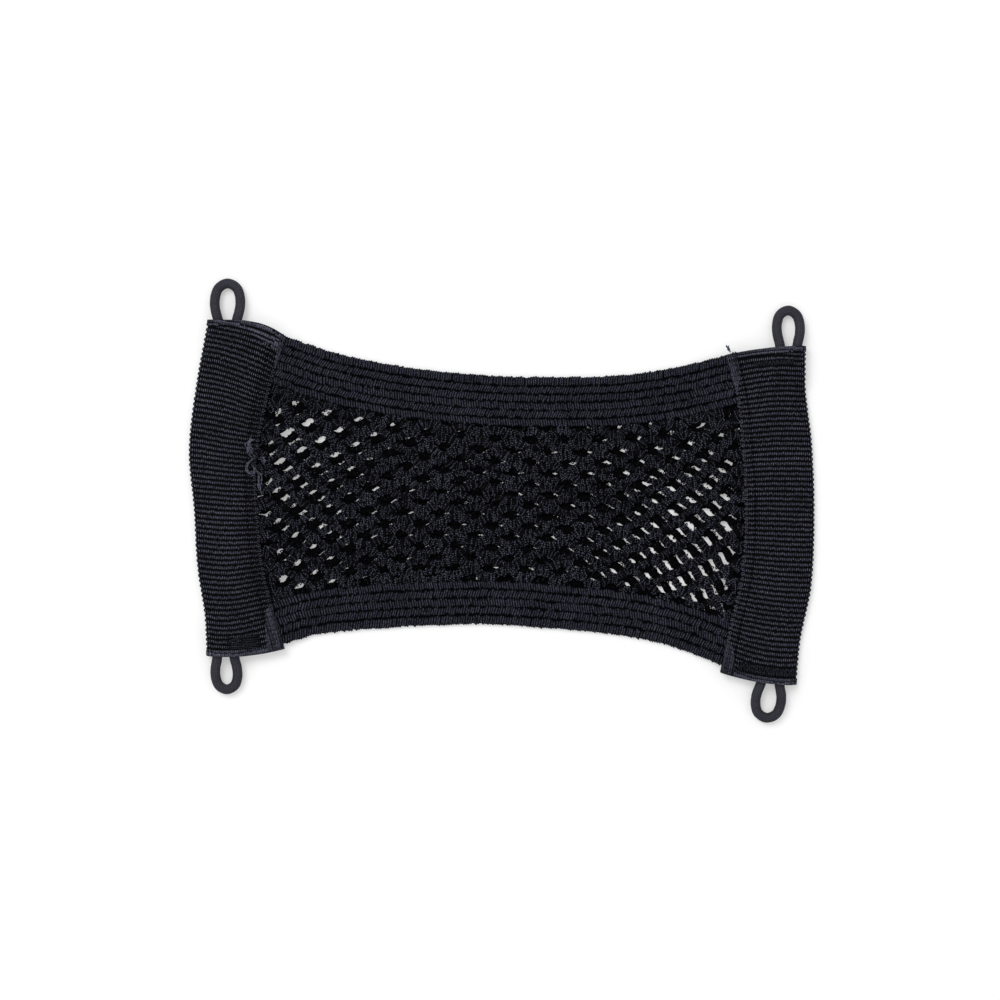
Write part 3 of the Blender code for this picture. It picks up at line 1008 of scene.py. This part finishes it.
    def add_tack(self, cloth: Cloth, tack: Tack) -> None:
        """Adds a zigzag tack.

        Args:
            cloth: The mesh that it goes into.
            tack: The tack.
        """
        if tack.across:
            count = int((tack.far - tack.near) / self.tack_stitch_across)
            share = np.where(np.arange(count) % 2, tack.first, tack.last)
            from_end = np.linspace(tack.near, tack.far, count)
        else:
            count = int((tack.last - tack.first) * self.mean_width / self.tack_stitch)
            share = np.linspace(tack.first, tack.last, count)
            from_end = np.where(np.arange(count) % 2, tack.near, tack.far)
        share = share + self.random.normal(0.0, 0.006, count)
        v = self.at_end(from_end + self.random.normal(0.0, 0.15, count), tack.high)
        self.sew(cloth, self.on_top(share, v, 0.1), self.thread, 4, self.tack_light)

    def add_edge_yarns(self, cloth: Cloth, strip: Selvedge) -> None:
        """Adds the lengthwise yarns that show in a smooth strip at the open edge.

        Args:
            cloth: The mesh that it goes into.
            strip: The strip.
        """
        for inset in np.arange(0.5, strip.wide - 0.4, self.edge_yarn_pitch):
            reach = strip.long * (1.0 - (inset / strip.wide) ** 2.5)
            from_end = np.linspace(0.6, max(reach, 1.5), max(int(reach / 0.7), 3))
            v = self.at_end(from_end, strip.high)
            share = 1.0 - (inset + self.random.normal(0.0, 0.06, len(v))) / self.width(v)
            light = 0.2 + 0.12 * self.random.uniform()
            self.sew(cloth, self.on_top(share, v, 0.0), 1.4 * self.thread, 1, light)

    def add_tangle(self, cloth: Cloth, tangle: LooseYarn) -> None:
        """Adds a frayed bundle of yarn, each strand straying from its line in its own way.

        Args:
            cloth: The mesh that it goes into.
            tangle: The bundle.
        """
        for _ in range(tangle.strands):
            stray = self.random.normal(0.0, tangle.stray, (len(tangle.line), 3)) * (1.0, 1.0, 0.35)
            stray[:, 2] = np.abs(stray[:, 2])
            first, last = np.sort(self.random.uniform(0.0, 1.0, 2)) + (-0.3, 0.3)
            share = np.linspace(max(first, 0.0), min(last, 1.0), 30)
            path = Line(np.array(tangle.line) + stray).at(share)
            lane = np.full(len(path), self.rib_pitch / 2)
            taper = np.sin(math.pi * np.linspace(0.12, 0.88, len(path))) ** 0.5
            cloth.add_tube(path, tangle.radius * taper, 4, lane, smooth_at=self.bead / 2)

    def add_lining(self, cloth: Cloth, skin: int, points: Array, places: Array) -> None:
        """Closes the webbing with its plain inner side, and strips round its edges.

        Args:
            cloth: The mesh that holds the outer skin.
            skin: The number of the skin's first point.
            points: The skin's points.
            places: Their cloth coordinates.
        """
        rows, columns = points.shape[:2]
        picks = np.unique(np.linspace(0, columns - 1, self.lining_columns).round().astype(int))
        under = picks < self.under_columns
        over = picks >= self.under_columns + self.fold_columns
        between = ~(under | over)
        lining = points[:, picks].copy()
        lining[:, under, 2] = WEBBING
        lining[:, over, 2] = lining[:, over, 2].clip(3.5) - WEBBING + 0.2
        fold_middle = self.under_columns + self.fold_columns // 2
        inward = unit(points[:, -1, :2] - points[:, fold_middle, :2])[:, None]
        lining[:, between, :2] += inward * WEBBING
        lining[:, between, 2] = np.clip(lining[:, between, 2], WEBBING, 3.0)
        start = cloth.add_grid(lining, places[:, picks], flip=self.mirrored)

        count = len(picks)
        row = np.arange(rows - 1)
        for mine, theirs, turned in ((0, 0, False), (columns - 1, count - 1, True)):
            outer, inner = skin + row * columns + mine, start + row * count + theirs
            strip = np.stack([outer, outer + columns, inner + count, inner], axis=1)
            cloth.quads.append(strip[:, ::-1] if turned != self.mirrored else strip)
        for line, turned in ((0, True), (rows - 1, False)):
            near, inner = skin + line * columns, start + line * count
            for k in range(count - 1):
                fan = [(near + c, near + c + 1, inner + k) for c in range(picks[k], picks[k + 1])]
                fan.append((near + picks[k + 1], inner + k + 1, inner + k))
                cloth.others.extend(face[::-1] if turned != self.mirrored else face for face in fan)


LEFT_BAND = Band(
    name="webbing_left",
    rows=(
        (-147.4, -77.3, -108.4, -74.0),
        (-148.4, -58.0, -114.0, -54.0),
        (-152.2, -33.0, -119.2, -30.0),
        (-153.9, -4.0, -121.6, -3.0),
        (-156.4, 25.0, -122.0, 20.0),
        (-152.9, 57.0, -115.8, 54.0),
        (-146.9, 90.2, -107.6, 81.8),
    ),
    crown_low=1.8,
    crown_high=3.6,
    loops=(LOOPS[0], LOOPS[1]),
    bow_rows=(
        (0.0, 0.3, 0.2, 0.0, -0.6),
        (0.5, 1.0, 0.75, 0.2, -0.2),
        (0.6, 1.0, 1.05, 0.5, 0.05),
        (0.5, 0.7, 0.82, 0.6, 0.38),
        (0.57, 0.62, 0.67, 0.64, 0.35),
        (0.5, 0.55, 0.85, 1.0, 0.95),
        (0.24, 0.36, 0.69, 1.52, 1.93),
        (0.32, 0.63, 1.4, 2.02, 2.55),
        (0.5, 1.3, 2.0, 2.3, 2.3),
    ),
    selvedges=(Selvedge(False, 8.0, 24.0), Selvedge(True, 2.2, 18.0)),
    tacks=(Tack(False, 0.3, 0.74, 3.6, 9.6, across=True),),
    tangles=(
        LooseYarn(
            ((-124.0, 31.0, 6.6), (-126.0, 28.0, 6.9), (-125.4, 24.5, 7.2), (-123.4, 21.5, 6.6)), 12, 0.8
        ),
        LooseYarn(
            (
                (-123.6, 21.0, 6.4),
                (-126.6, 17.8, 6.7),
                (-126.4, 14.4, 6.7),
                (-123.8, 13.4, 6.4),
                (-122.9, 16.0, 6.3),
                (-124.6, 18.6, 6.8),
            ),
            9,
            0.4,
        ),
        LooseYarn(((-120.4, 21.6, 4.9), (-118.4, 20.8, 5.2), (-118.2, 18.6, 5.0)), 7, 0.5),
        LooseYarn(
            ((-123.0, 16.4, 6.0), (-120.6, 11.5, 5.2), (-120.4, 6.0, 5.0), (-119.6, 2.6, 4.9)), 5, 0.7
        ),
    ),
    seed=11,
    # The ribs are painted with shade in a pulled-in stretch of the open edge and along the edge.
    pulled_in_shade=(10.5, 31.5, 5.5),
    hem_flare=6.0,
    crown_skew=1.2,
    edge_shade=0.9,
    edge_light=0.27,
)
RIGHT_BAND = Band(
    name="webbing_right",
    rows=(
        (147.4, -91.9, 109.2, -85.8),
        (149.4, -70.0, 113.0, -66.0),
        (155.0, -42.0, 119.2, -38.0),
        (156.4, -6.0, 121.3, -6.0),
        (155.2, 28.0, 119.8, 26.0),
        (152.0, 56.0, 116.8, 53.0),
        (151.9, 77.0, 111.6, 72.6),
    ),
    crown_low=1.6,
    crown_high=1.2,
    loops=(LOOPS[2], LOOPS[3]),
    bow_rows=(
        (0.3, 0.5, 0.4, 0.2, -0.2),
        (0.5, 0.8, 0.75, 0.4, -0.2),
        (0.7, 1.0, 1.0, 0.8, 0.35),
        (0.6, 0.8, 0.88, 0.8, 0.7),
        (0.8, 0.78, 0.74, 0.78, 0.95),
        (0.8, 0.65, 0.62, 0.68, 0.95),
        (0.86, 0.6, 0.46, 0.6, 0.65),
        (1.0, 0.7, 0.55, 0.7, 1.0),
        (1.1, 1.0, 0.7, 0.6, 0.5),
    ),
    selvedges=(Selvedge(False, 7.0, 17.0), Selvedge(True, 6.0, 19.0)),
    tacks=(Tack(True, 0.17, 0.7, 6.3, 9.2), Tack(False, 0.03, 0.8, 3.8, 8.2)),
    tangles=(
        LooseYarn(
            ((113.8, 74.2, 5.2), (113.0, 75.6, 5.6), (112.4, 76.9, 5.6), (113.4, 77.0, 5.4)), 6, 0.3, 0.36
        ),
    ),
    seed=12,
)


# --------------------------------------------------------------------------- elastic borders


class Inwards(Enum):
    """Which way a border's mesh lies from its outer edge."""

    UP = 1
    DOWN = -1


@dataclass(eq=False)
class Border:
    """A ribbed elastic along one long side of the net, its ribs wrapped in slanting stitches.

    Leans say how many stitches a stitch slants by across each rib, from the outer rib inwards.
    Grooves say how deep the line is on the inner side of each rib, 1 being the full depth.
    """

    name: str
    edge_points: tuple[tuple[float, float], ...]
    width: float
    leans: tuple[float, ...]
    grooves: tuple[float, ...]
    inwards: Inwards
    seed: int
    left: Band = LEFT_BAND
    right: Band = RIGHT_BAND
    thick: float = 3.0
    rib_depth: float = 1.1
    rib_pattern: float = 4.2
    stitch: float = 1.2
    stitch_depth: float = 0.42
    tooth: float = 0.75
    faded_stitches: float = 4.0
    roundness: float = 0.38
    uneven_height: float = 0.18
    outer_rib_shown: float = 0.55
    narrowed: float = 0.93
    stitch_steps: tuple[float, ...] = (0.0, 0.34, 0.66)
    rib_steps: tuple[float, ...] = (0.0, 0.06, 0.16, 0.32, 0.5, 0.68, 0.84, 0.94, 0.99)
    under_steps: tuple[float, ...] = (0.0, 0.25, 0.5, 0.75)

    def __post_init__(self) -> None:
        """Works out the outer edge's line."""
        self.edge = Line(self.edge_points)
        self.ribs = len(self.leans)
        self.random = np.random.default_rng(self.seed)

    def point(self, share: Array, inset: Array) -> Array:
        """Points in from the outer edge.

        Args:
            share: Shares of the edge's length.
            inset: How far in from it.

        Returns:
            X and Y of each.
        """
        step = 0.002
        behind = self.edge.at(np.maximum(share - step, 0.0))
        heading = unit(self.edge.at(np.minimum(share + step, 1.0)) - behind)
        normal = np.stack([-heading[..., 1], heading[..., 0]], axis=-1) * self.inwards.value
        return self.edge.at(share) + normal * np.asarray(inset)[..., None]

    def end_share(self, band: Band, inset: Array) -> Array:
        """Where the lines along the border meet a band's seam.

        Args:
            band: The band.
            inset: How far the lines lie in from the edge.

        Returns:
            Shares of the edge's length.
        """
        low, high = np.zeros_like(inset), np.ones_like(inset)
        for _ in range(30):
            middle = (low + high) / 2
            here = self.point(middle, inset)
            before = here[..., 0] < band.seam_x(here[..., 1])
            low, high = np.where(before, middle, low), np.where(before, high, middle)
        return low

    def inner_y(self, x: Array) -> Array:
        """Where the mesh meets the border.

        Args:
            x: Places along the net.

        Returns:
            The y of the edge there.
        """
        share = np.linspace(0.0, 1.0, 300)
        line = self.point(share, np.full_like(share, self.width))
        return np.interp(x, line[:, 0], line[:, 1])

    def build(self, finish: bpy.types.Material) -> bpy.types.Object:
        """Makes the border as one closed piece, ribbed above and below.

        Args:
            finish: The material.

        Returns:
            The piece.
        """
        top, under = repeated(self.rib_steps, self.ribs), repeated(self.under_steps, self.ribs)
        around = np.concatenate([top, under[-2::-1]])
        on_top = (np.arange(len(around)) < len(top))[:, None]
        inset = around * self.width / self.ribs
        first, last = self.end_share(self.left, inset), self.end_share(self.right, inset)
        stitches = round(float((last - first).mean()) * self.edge.length / self.stitch)
        stitch, rib = np.meshgrid(repeated(self.stitch_steps, stitches), around)
        rib_number = np.minimum(np.floor(rib).astype(int), self.ribs - 1)
        number = np.clip(np.floor(stitch).astype(int), 0, stitches - 1)
        in_rib = rib - rib_number

        def uneven_by(spread: float) -> Array:
            """A value that differs at random from stitch to stitch on each rib."""
            return self.random.normal(0.0, spread, (self.ribs, stitches))[rib_number, number]

        to_end = ease(stitch / self.faded_stitches) * ease((stitches - stitch) / self.faded_stitches)
        slanted = stitch + np.array(self.leans)[rib_number] * (in_rib - 0.5) * on_top * to_end
        share = first[:, None] + (last - first)[:, None] * np.clip(slanted / stitches, 0.0, 1.0)
        depths = np.array((1.0, *self.grooves))
        depth = np.where(in_rib < 0.5, depths[rib_number], depths[rib_number + 1])
        crest = wave(rib_number + 0.5 + (in_rib - 0.5) * depth) ** self.roundness
        thread = wave(stitch) ** 0.8
        uneven, aside, drift = uneven_by(self.uneven_height), uneven_by(0.08), uneven_by(0.1)
        # Near the bands each rib shows more of its painted groove shade, the outer rib's outer half less;
        # it also differs at random from stitch to stitch.
        narrow = (np.abs(uneven_by(0.2)) + self.narrowed) * (1.5 - 0.5 * to_end)
        shown = np.where(rib < 0.5, self.outer_rib_shown, depth) * narrow
        scallop = rib_number + 0.5 + np.clip((in_rib - 0.5) * shown + aside, -0.5, 0.5)
        swell = (self.thick - self.rib_depth) / 2 + self.rib_depth / 2 * crest
        swell = swell + (uneven - self.stitch_depth * (1.0 - thread)) * (0.35 + 0.65 * crest)
        out = np.where(rib <= 0.0, -1.0, np.where(rib >= self.ribs, 1.0, 0.0))
        bulge = self.tooth * (thread + 1.5 * uneven) - 0.1
        place = self.point(share, inset[:, None] + out * bulge)
        height = self.thick / 2 + np.where(on_top, swell, -swell)
        height = np.where(out != 0.0, self.thick / 2, height)
        height = np.clip(height, 0.0, None) + raised(place[..., 0])
        points = np.concatenate([place, height[..., None]], axis=-1)
        places = np.stack([(stitch + drift) * self.stitch, scallop * self.rib_pattern], axis=-1)
        # The first and the last line across are the two edges; the ring closes on itself.
        cloth = Cloth()
        flip = self.inwards is Inwards.UP
        cloth.add_grid(points.swapaxes(0, 1), places.swapaxes(0, 1), closed=True, flip=flip)
        return cloth.make(self.name, "elastic", finish)


TOP_BORDER = Border(
    name="border_top",
    edge_points=(
        (-117.0, 85.6),
        (-106.0, 81.0),
        (-82.0, 73.0),
        (-46.0, 66.0),
        (-6.0, 62.0),
        (34.0, 61.3),
        (62.0, 62.4),
        (86.0, 65.9),
        (107.0, 70.8),
        (118.0, 74.0),
    ),
    width=24.5,
    leans=(-0.5, -1.5, -0.8, 0.5, -1.3, 0.8),
    grooves=(1.0, 1.0, 0.95, 0.9, 1.0, 1.0),
    inwards=Inwards.DOWN,
    seed=21,
)
BOTTOM_BORDER = Border(
    name="border_bottom",
    edge_points=(
        (-116.0, -74.4),
        (-107.0, -70.6),
        (-94.0, -66.8),
        (-70.0, -63.9),
        (-40.0, -62.1),
        (-6.0, -61.3),
        (34.0, -64.2),
        (62.0, -67.2),
        (86.0, -72.7),
        (107.0, -80.6),
        (117.0, -84.2),
    ),
    width=21.5,
    leans=(0.5, 0.9, -0.7, 1.0, -0.8),
    grooves=(1.0, 0.95, 0.9, 1.0, 1.0),
    inwards=Inwards.UP,
    seed=22,
)


# --------------------------------------------------------------------------- knitted mesh


@dataclass(frozen=True)
class Spread:
    """A value that varies smoothly over the net: a sum of powers of x and y, both about 1 at its ends.

    Term j of row i is multiplied by x to the i and y to the j.
    """

    terms: tuple[tuple[float, ...], ...]

    def at(self, x: Array, y: Array) -> Array:
        """Reads the value.

        Args:
            x: Millimetres along the net.
            y: Millimetres across it.

        Returns:
            The value at each place.
        """
        along, up = (x - NET_MIDDLE[0]) / NET_HALF[0], (y - NET_MIDDLE[1]) / NET_HALF[1]
        total = np.zeros(np.broadcast(along, up).shape)
        for i, row in enumerate(self.terms):
            for j, term in enumerate(row):
                total = total + term * along**i * up**j
        return total


@dataclass(frozen=True)
class Lattice:
    """Which hole column and half row of a mesh layer lies at a place, once the net is stretched.

    Holes lie at whole columns in even half rows and half way between them in odd ones. A layer
    that has slipped holds the columns and rows of another place. Fullness is the share of a half
    row that a chain fills beside a hole: the more, the smaller the holes.
    """

    fullness: Spread
    slip_x: Spread = Spread(())
    slip_y: Spread = Spread(())
    column: Spread = Spread(
        (
            (-0.154, -0.096, 0.068, -0.055, 0.112),
            (6.64, 0.159, 0.535, 0.061),
            (-0.023, 0.157, -0.127),
            (0.071, -0.122),
            (0.028,),
        )
    )
    row: Spread = Spread(
        (
            (7.935, -9.19, -0.541, 0.182, 0.84),
            (-0.379, -0.461, -0.296, 0.427),
            (0.146, 3.051, -0.398),
            (0.377, 0.158),
            (0.162,),
        )
    )

    def at(self, x: Array, y: Array) -> tuple[Array, Array]:
        """The column and the half row at places in millimetres."""
        here_x, here_y = x + self.slip_x.at(x, y), y + self.slip_y.at(x, y)
        return self.column.at(here_x, here_y), self.row.at(here_x, here_y)

    def pitch(self, x: Array, y: Array) -> Array:
        """The distance between half rows at places in millimetres."""
        drop = self.at(x, y - 0.5)[1] - self.at(x, y + 0.5)[1]
        return 1.0 / np.clip(drop, 0.08, 0.4)


LOWER_LATTICE = Lattice(Spread(((0.88, 0.0, -0.02), (-0.06, 0.055), (-0.67,), (0.075,), (0.26,))))
UPPER_LATTICE = Lattice(
    Spread(((0.73, 0.02, 0.03), (-0.06, 0.055), (-0.44,), (0.075,), (0.18,))),
    slip_x=Spread(((6.693, -0.454, -0.567), (-0.408, 1.042), (-0.731,))),
    slip_y=Spread(((0.081, -1.724, -1.779), (2.682, 0.885), (1.006,))),
)


@dataclass(eq=False)
class Strand:
    """A chain's middle line, with how far its yarn reaches to each side at each point."""

    run: Array
    line: Array
    reach: Array

    def frame(self, at: Array) -> tuple[Array, Array, Array]:
        """The line's own frame.

        Args:
            at: Lengths along the line.

        Returns:
            The points, and the ways ahead and to the side there.
        """
        middle = read_line(at, self.run, self.line)
        ahead = unit(np.gradient(middle, axis=0))
        return middle, ahead, np.stack([-ahead[:, 1], ahead[:, 0]], axis=1)


@dataclass(eq=False)
class KnitMesh:
    """One layer of knitted mesh: chains of looped yarn that meet between the holes.

    A chain swings round each hole and runs level between them, side by side with the next chain.
    Its knotty yarn loops unevenly from side to side, over a flat bundle of inlaid yarns. The
    shade is how much light is painted into the layer's colour: 1 for the upper one, less for the
    lower one in its shade. Within a layer, too, the colour is painted darker lower down.
    """

    name: str
    lattice: Lattice
    centre_z: float
    shade: float
    seed: int
    left: Band = LEFT_BAND
    right: Band = RIGHT_BAND
    top: Border = TOP_BORDER
    bottom: Border = BOTTOM_BORDER
    chains: int = 18
    stations: int = 1400
    halvings: int = 22
    wobble_knots: int = 41
    margin: float = 1.1
    squareness: float = 1.6
    corner: float = 0.2
    overlap: float = 0.5
    rows_kept: float = 0.55
    shortest_part: int = 30
    reach_limits: tuple[float, float] = (0.5, 3.6)
    loop_pitch: float = 2.3
    curl: float = 0.3
    lift: float = 0.2
    yarn_radius: float = 0.4
    knot: float = 1.19
    knot_swell: float = 0.3
    patchiness: float = 0.24
    sides: int = 3
    inlay_height: float = 0.3
    inlay_below: float = 0.15
    inlay_short: float = 0.05
    inlay_step: float = 1.8
    inlay_shade_height: float = 0.3
    inlay_widen: float = 1.25
    shaded_layer_depth: float = 1.44
    gathered: float = 7.0
    gathered_fullness: float = 1.1
    half_length: float = 126.0

    def strands(self, chain: int, noise: np.random.Generator) -> list[Strand]:
        """The middle lines of a chain's parts between the borders and the bands.

        A chain that would run under a border lies along its edge for a little way and stops.

        Args:
            chain: Which chain, from above the first row of holes.
            noise: Where its unevenness is drawn from.

        Returns:
            A line for each part of the chain.
        """
        x = np.linspace(-self.half_length, self.half_length, self.stations)
        knots = np.linspace(-self.half_length, self.half_length, self.wobble_knots)
        wobble = np.interp(x, knots, noise.normal(0.0, 0.03, len(knots)))
        width = np.interp(x, knots, noise.normal(1.0, 0.05, len(knots)))
        low = self.bottom.inner_y(x) + self.margin
        high = self.top.inner_y(x) - self.margin
        for _ in range(self.halvings):
            y = (low + high) / 2
            column, row = self.lattice.at(x, y)
            pitch = self.lattice.pitch(x, y)
            fullness = self.lattice.fullness.at(x, y)
            fullness = fullness + (self.gathered_fullness - fullness) * self.near_band(x, y)
            turn = TAU * (column - 0.5 * (chain % 2))
            swing = (1.0 - fullness) / 2 + self.overlap / pitch
            sway = np.tanh(self.squareness * np.cos(turn)) / math.tanh(self.squareness)
            target = chain - 0.5 - swing * sway + wobble
            above = row < target
            low, high = np.where(above, low, y), np.where(above, y, high)
        width = width * (1.0 + self.corner * np.sin(turn) ** 2)
        reach = (fullness * pitch / 2 + self.overlap) * width - self.yarn_radius
        kept = (x > self.left.seam_x(y)) & (x < self.right.seam_x(y))
        kept &= np.abs(row - target) < self.rows_kept
        edges = np.flatnonzero(np.diff(np.concatenate([[False], kept, [False]]).astype(int)))
        reach = np.clip(reach, *self.reach_limits)
        found = []
        for first, last in zip(edges[::2], edges[1::2]):
            if last - first >= self.shortest_part:
                line = np.stack([x[first:last], y[first:last]], axis=1)
                found.append(Strand(run_along(line), line, reach[first:last]))
        return found

    def near_band(self, x: Array, y: Array) -> Array:
        """How close the mesh is gathered towards a band's seam.

        Args:
            x: Millimetres along the net.
            y: Millimetres across it.

        Returns:
            1 inside a band, falling to 0 away from it.
        """
        inside = SEAM_DEPTH - GAP
        clear = np.minimum(x - self.left.seam_x(y), self.right.seam_x(y) - x) - inside
        return 1.0 - ease(clear / self.gathered)

    def build(self, finish: bpy.types.Material) -> bpy.types.Object:
        """Makes the layer, chain by chain.

        Args:
            finish: The material.

        Returns:
            The piece.
        """
        noise = np.random.default_rng(self.seed)
        cloth = Cloth()
        for chain in range(self.chains):
            for strand in self.strands(chain, noise):
                self.add_loops(cloth, strand, noise)
                self.add_inlay(cloth, strand, noise)
        return cloth.make(self.name, "knit", finish)

    def add_loops(self, cloth: Cloth, strand: Strand, noise: np.random.Generator) -> None:
        """Adds a chain's looping yarn, thick in its knots and thin between them.

        Args:
            cloth: The mesh that it goes into.
            strand: The chain's middle line.
            noise: Where its unevenness is drawn from.
        """
        length = strand.run[-1]
        fine = np.linspace(0.0, length, int(length / 0.08) + 2)
        middle, ahead, side = strand.frame(fine)

        def uneven(step: float, middle_value: float, spread: float) -> Array:
            """A value along the chain, drawn anew every step and smooth between."""
            knots = np.arange(0.0, length + step, step)
            return np.interp(fine, knots, noise.normal(middle_value, spread, len(knots)))

        phase = TAU * (fine / self.loop_pitch + noise.uniform(0.0, 1.0) + uneven(1.1, 0.0, 0.15))
        reach = np.interp(fine, strand.run, strand.reach) * np.clip(uneven(0.6, 0.88, 0.28), 0.25, 1.2)
        sideways = reach * np.sin(phase) + uneven(0.7, 0.0, 0.24)
        forward = uneven(0.6, 0.0, 0.25) - self.curl * np.sin(2.0 * phase)
        height = self.lift * (0.6 * np.cos(phase) + 0.3 * np.cos(2.0 * phase))
        height = np.clip(height + uneven(0.6, 0.0, 0.1), -self.lift, self.lift)
        flat = middle + side * sideways[:, None] + ahead * forward[:, None]
        path = np.column_stack([flat, height])
        run = run_along(path)
        count = int(run[-1] / self.knot) * 2 + 1
        path = read_line(np.arange(count) * self.knot / 2, run, path)
        thin = 1.0 - 2.0 * self.knot_swell * (np.arange(count) % 2 == 0)
        radius = self.yarn_radius * (1.0 + 0.5 * self.knot_swell) * thin
        radius = radius * (1.0 + noise.normal(0.0, 0.08, count))
        # The colour coordinate is the height in the layer, in random patches: lower yarn, and the whole
        # lower layer, is painted darker as shade.
        lane = self.shaded_layer_depth / 2 + path[:, 2] + noise.normal(0.0, self.patchiness, count)
        path[:, 2] += self.centre_z + raised(path[:, 0])
        cloth.add_tube(path, radius, self.sides, self.shade * lane.clip(0.1, 1.3), self.shade)

    def add_inlay(self, cloth: Cloth, strand: Strand, noise: np.random.Generator) -> None:
        """Adds the flat bundle of yarns laid in under a chain's loops.

        Args:
            cloth: The mesh that it goes into.
            strand: The chain's middle line.
            noise: Where its unevenness is drawn from.
        """
        at = np.linspace(0.0, strand.run[-1], int(strand.run[-1] / self.inlay_step) + 2)
        middle, _, _ = strand.frame(at)
        half = np.interp(at, strand.run, strand.reach) - self.inlay_short
        half = half + noise.normal(0.0, 0.1, len(at))
        path = np.column_stack([middle, self.centre_z + raised(middle[:, 0]) - self.inlay_below])
        height = np.full(len(at), self.inlay_height)
        # The inlay lies under the loops and is painted nearly black as shade.
        lane = self.shade * np.full(len(at), self.inlay_shade_height)
        # A square section reaches to the side by only 0.71 of its radius.
        widen = self.inlay_widen * half / self.inlay_height
        cloth.add_tube(path, height, 4, lane, self.shade, widen=widen)


# --------------------------------------------------------------------------- the studio


@dataclass(frozen=True)
class Studio:
    """A white table lit from within too, soft light all round, a lamp, and the camera above."""

    height: float = 1500.0
    view_width: float = 500.0
    centre_x: float = -0.8
    centre_y: float = 0.3
    table_size: float = 6000.0
    table_below: float = 0.05
    table_colour: str = "#d0d0d0"
    table_glow: float = 0.3
    sky: float = 0.85
    lamp_size: float = 1600.0
    lamp_watts: float = 47.0
    lamp_place: tuple[float, float, float] = (-1200.0, 1400.0, 2600.0)
    film_width: float = 36.0
    sees_from: float = 50.0
    sees_to: float = 20000.0

    def build(self) -> None:
        """Makes the table, the lights and the camera."""
        half = self.table_size / 2 * MM
        mesh = bpy.data.meshes.new("table_top")
        corners = [(-half, -half, 0.0), (half, -half, 0.0), (half, half, 0.0), (-half, half, 0.0)]
        mesh.from_pydata(corners, [], [(0, 1, 2, 3)])
        table = put("table_top", mesh)
        table.location.z = -self.table_below * MM
        sheet = bpy.data.materials.new("opal_acrylic_sheet")
        sheet.use_nodes = True
        shader = sheet.node_tree.nodes["Principled BSDF"]
        shader.inputs["Base Color"].default_value = linear(self.table_colour)
        shader.inputs["Roughness"].default_value = 0.9
        shader.inputs["Specular IOR Level"].default_value = 0.1
        shader.inputs["Emission Color"].default_value = linear("#ffffff")
        shader.inputs["Emission Strength"].default_value = self.table_glow
        mesh.materials.append(sheet)

        world = bpy.data.worlds.new("studio")
        bpy.context.scene.world = world
        world.use_nodes = True
        sky = world.node_tree.nodes["Background"]
        sky.inputs["Color"].default_value = linear("#ffffff")
        sky.inputs["Strength"].default_value = self.sky

        lamp = bpy.data.lights.new("softbox", "AREA")
        lamp.size = self.lamp_size * MM
        lamp.energy = self.lamp_watts
        held = put("softbox", lamp)
        held.location = Vector(self.lamp_place) * MM
        held.rotation_euler = (-Vector(held.location)).to_track_quat("-Z", "Y").to_euler()

        lens = bpy.data.cameras.new("overhead")
        lens.sensor_width = self.film_width
        lens.lens = self.film_width * self.height / self.view_width
        lens.clip_start = self.sees_from * MM
        lens.clip_end = self.sees_to * MM
        camera = put("overhead", lens)
        camera.location = (self.centre_x * MM, self.centre_y * MM, self.height * MM)
        bpy.context.scene.camera = camera
        bpy.context.scene.view_settings.view_transform = "Standard"


# --------------------------------------------------------------------------- making it all


def main() -> None:
    """Builds the studio, then each sub-assembly of the net."""
    logging.basicConfig(level=logging.INFO, format="%(message)s")
    Studio().build()
    # The lower layer is painted darker, as in the upper one's shade.
    back = KnitMesh("mesh_back", LOWER_LATTICE, 0.86, shade=0.5, seed=31, knot=1.28)
    front = KnitMesh("mesh_front", UPPER_LATTICE, 2.35, shade=1.0, seed=32)
    sub_assemblies = (
        (WEBBING_FINISH, (LEFT_BAND, RIGHT_BAND)),
        (ELASTIC_FINISH, (TOP_BORDER, BOTTOM_BORDER)),
        (YARN_FINISH, (back, front)),
        (CORD_FINISH, LOOPS),
    )
    for finish, pieces in sub_assemblies:
        material = finish.build()
        for piece in pieces:
            piece.build(material)


if __name__ == "__main__":
    main()
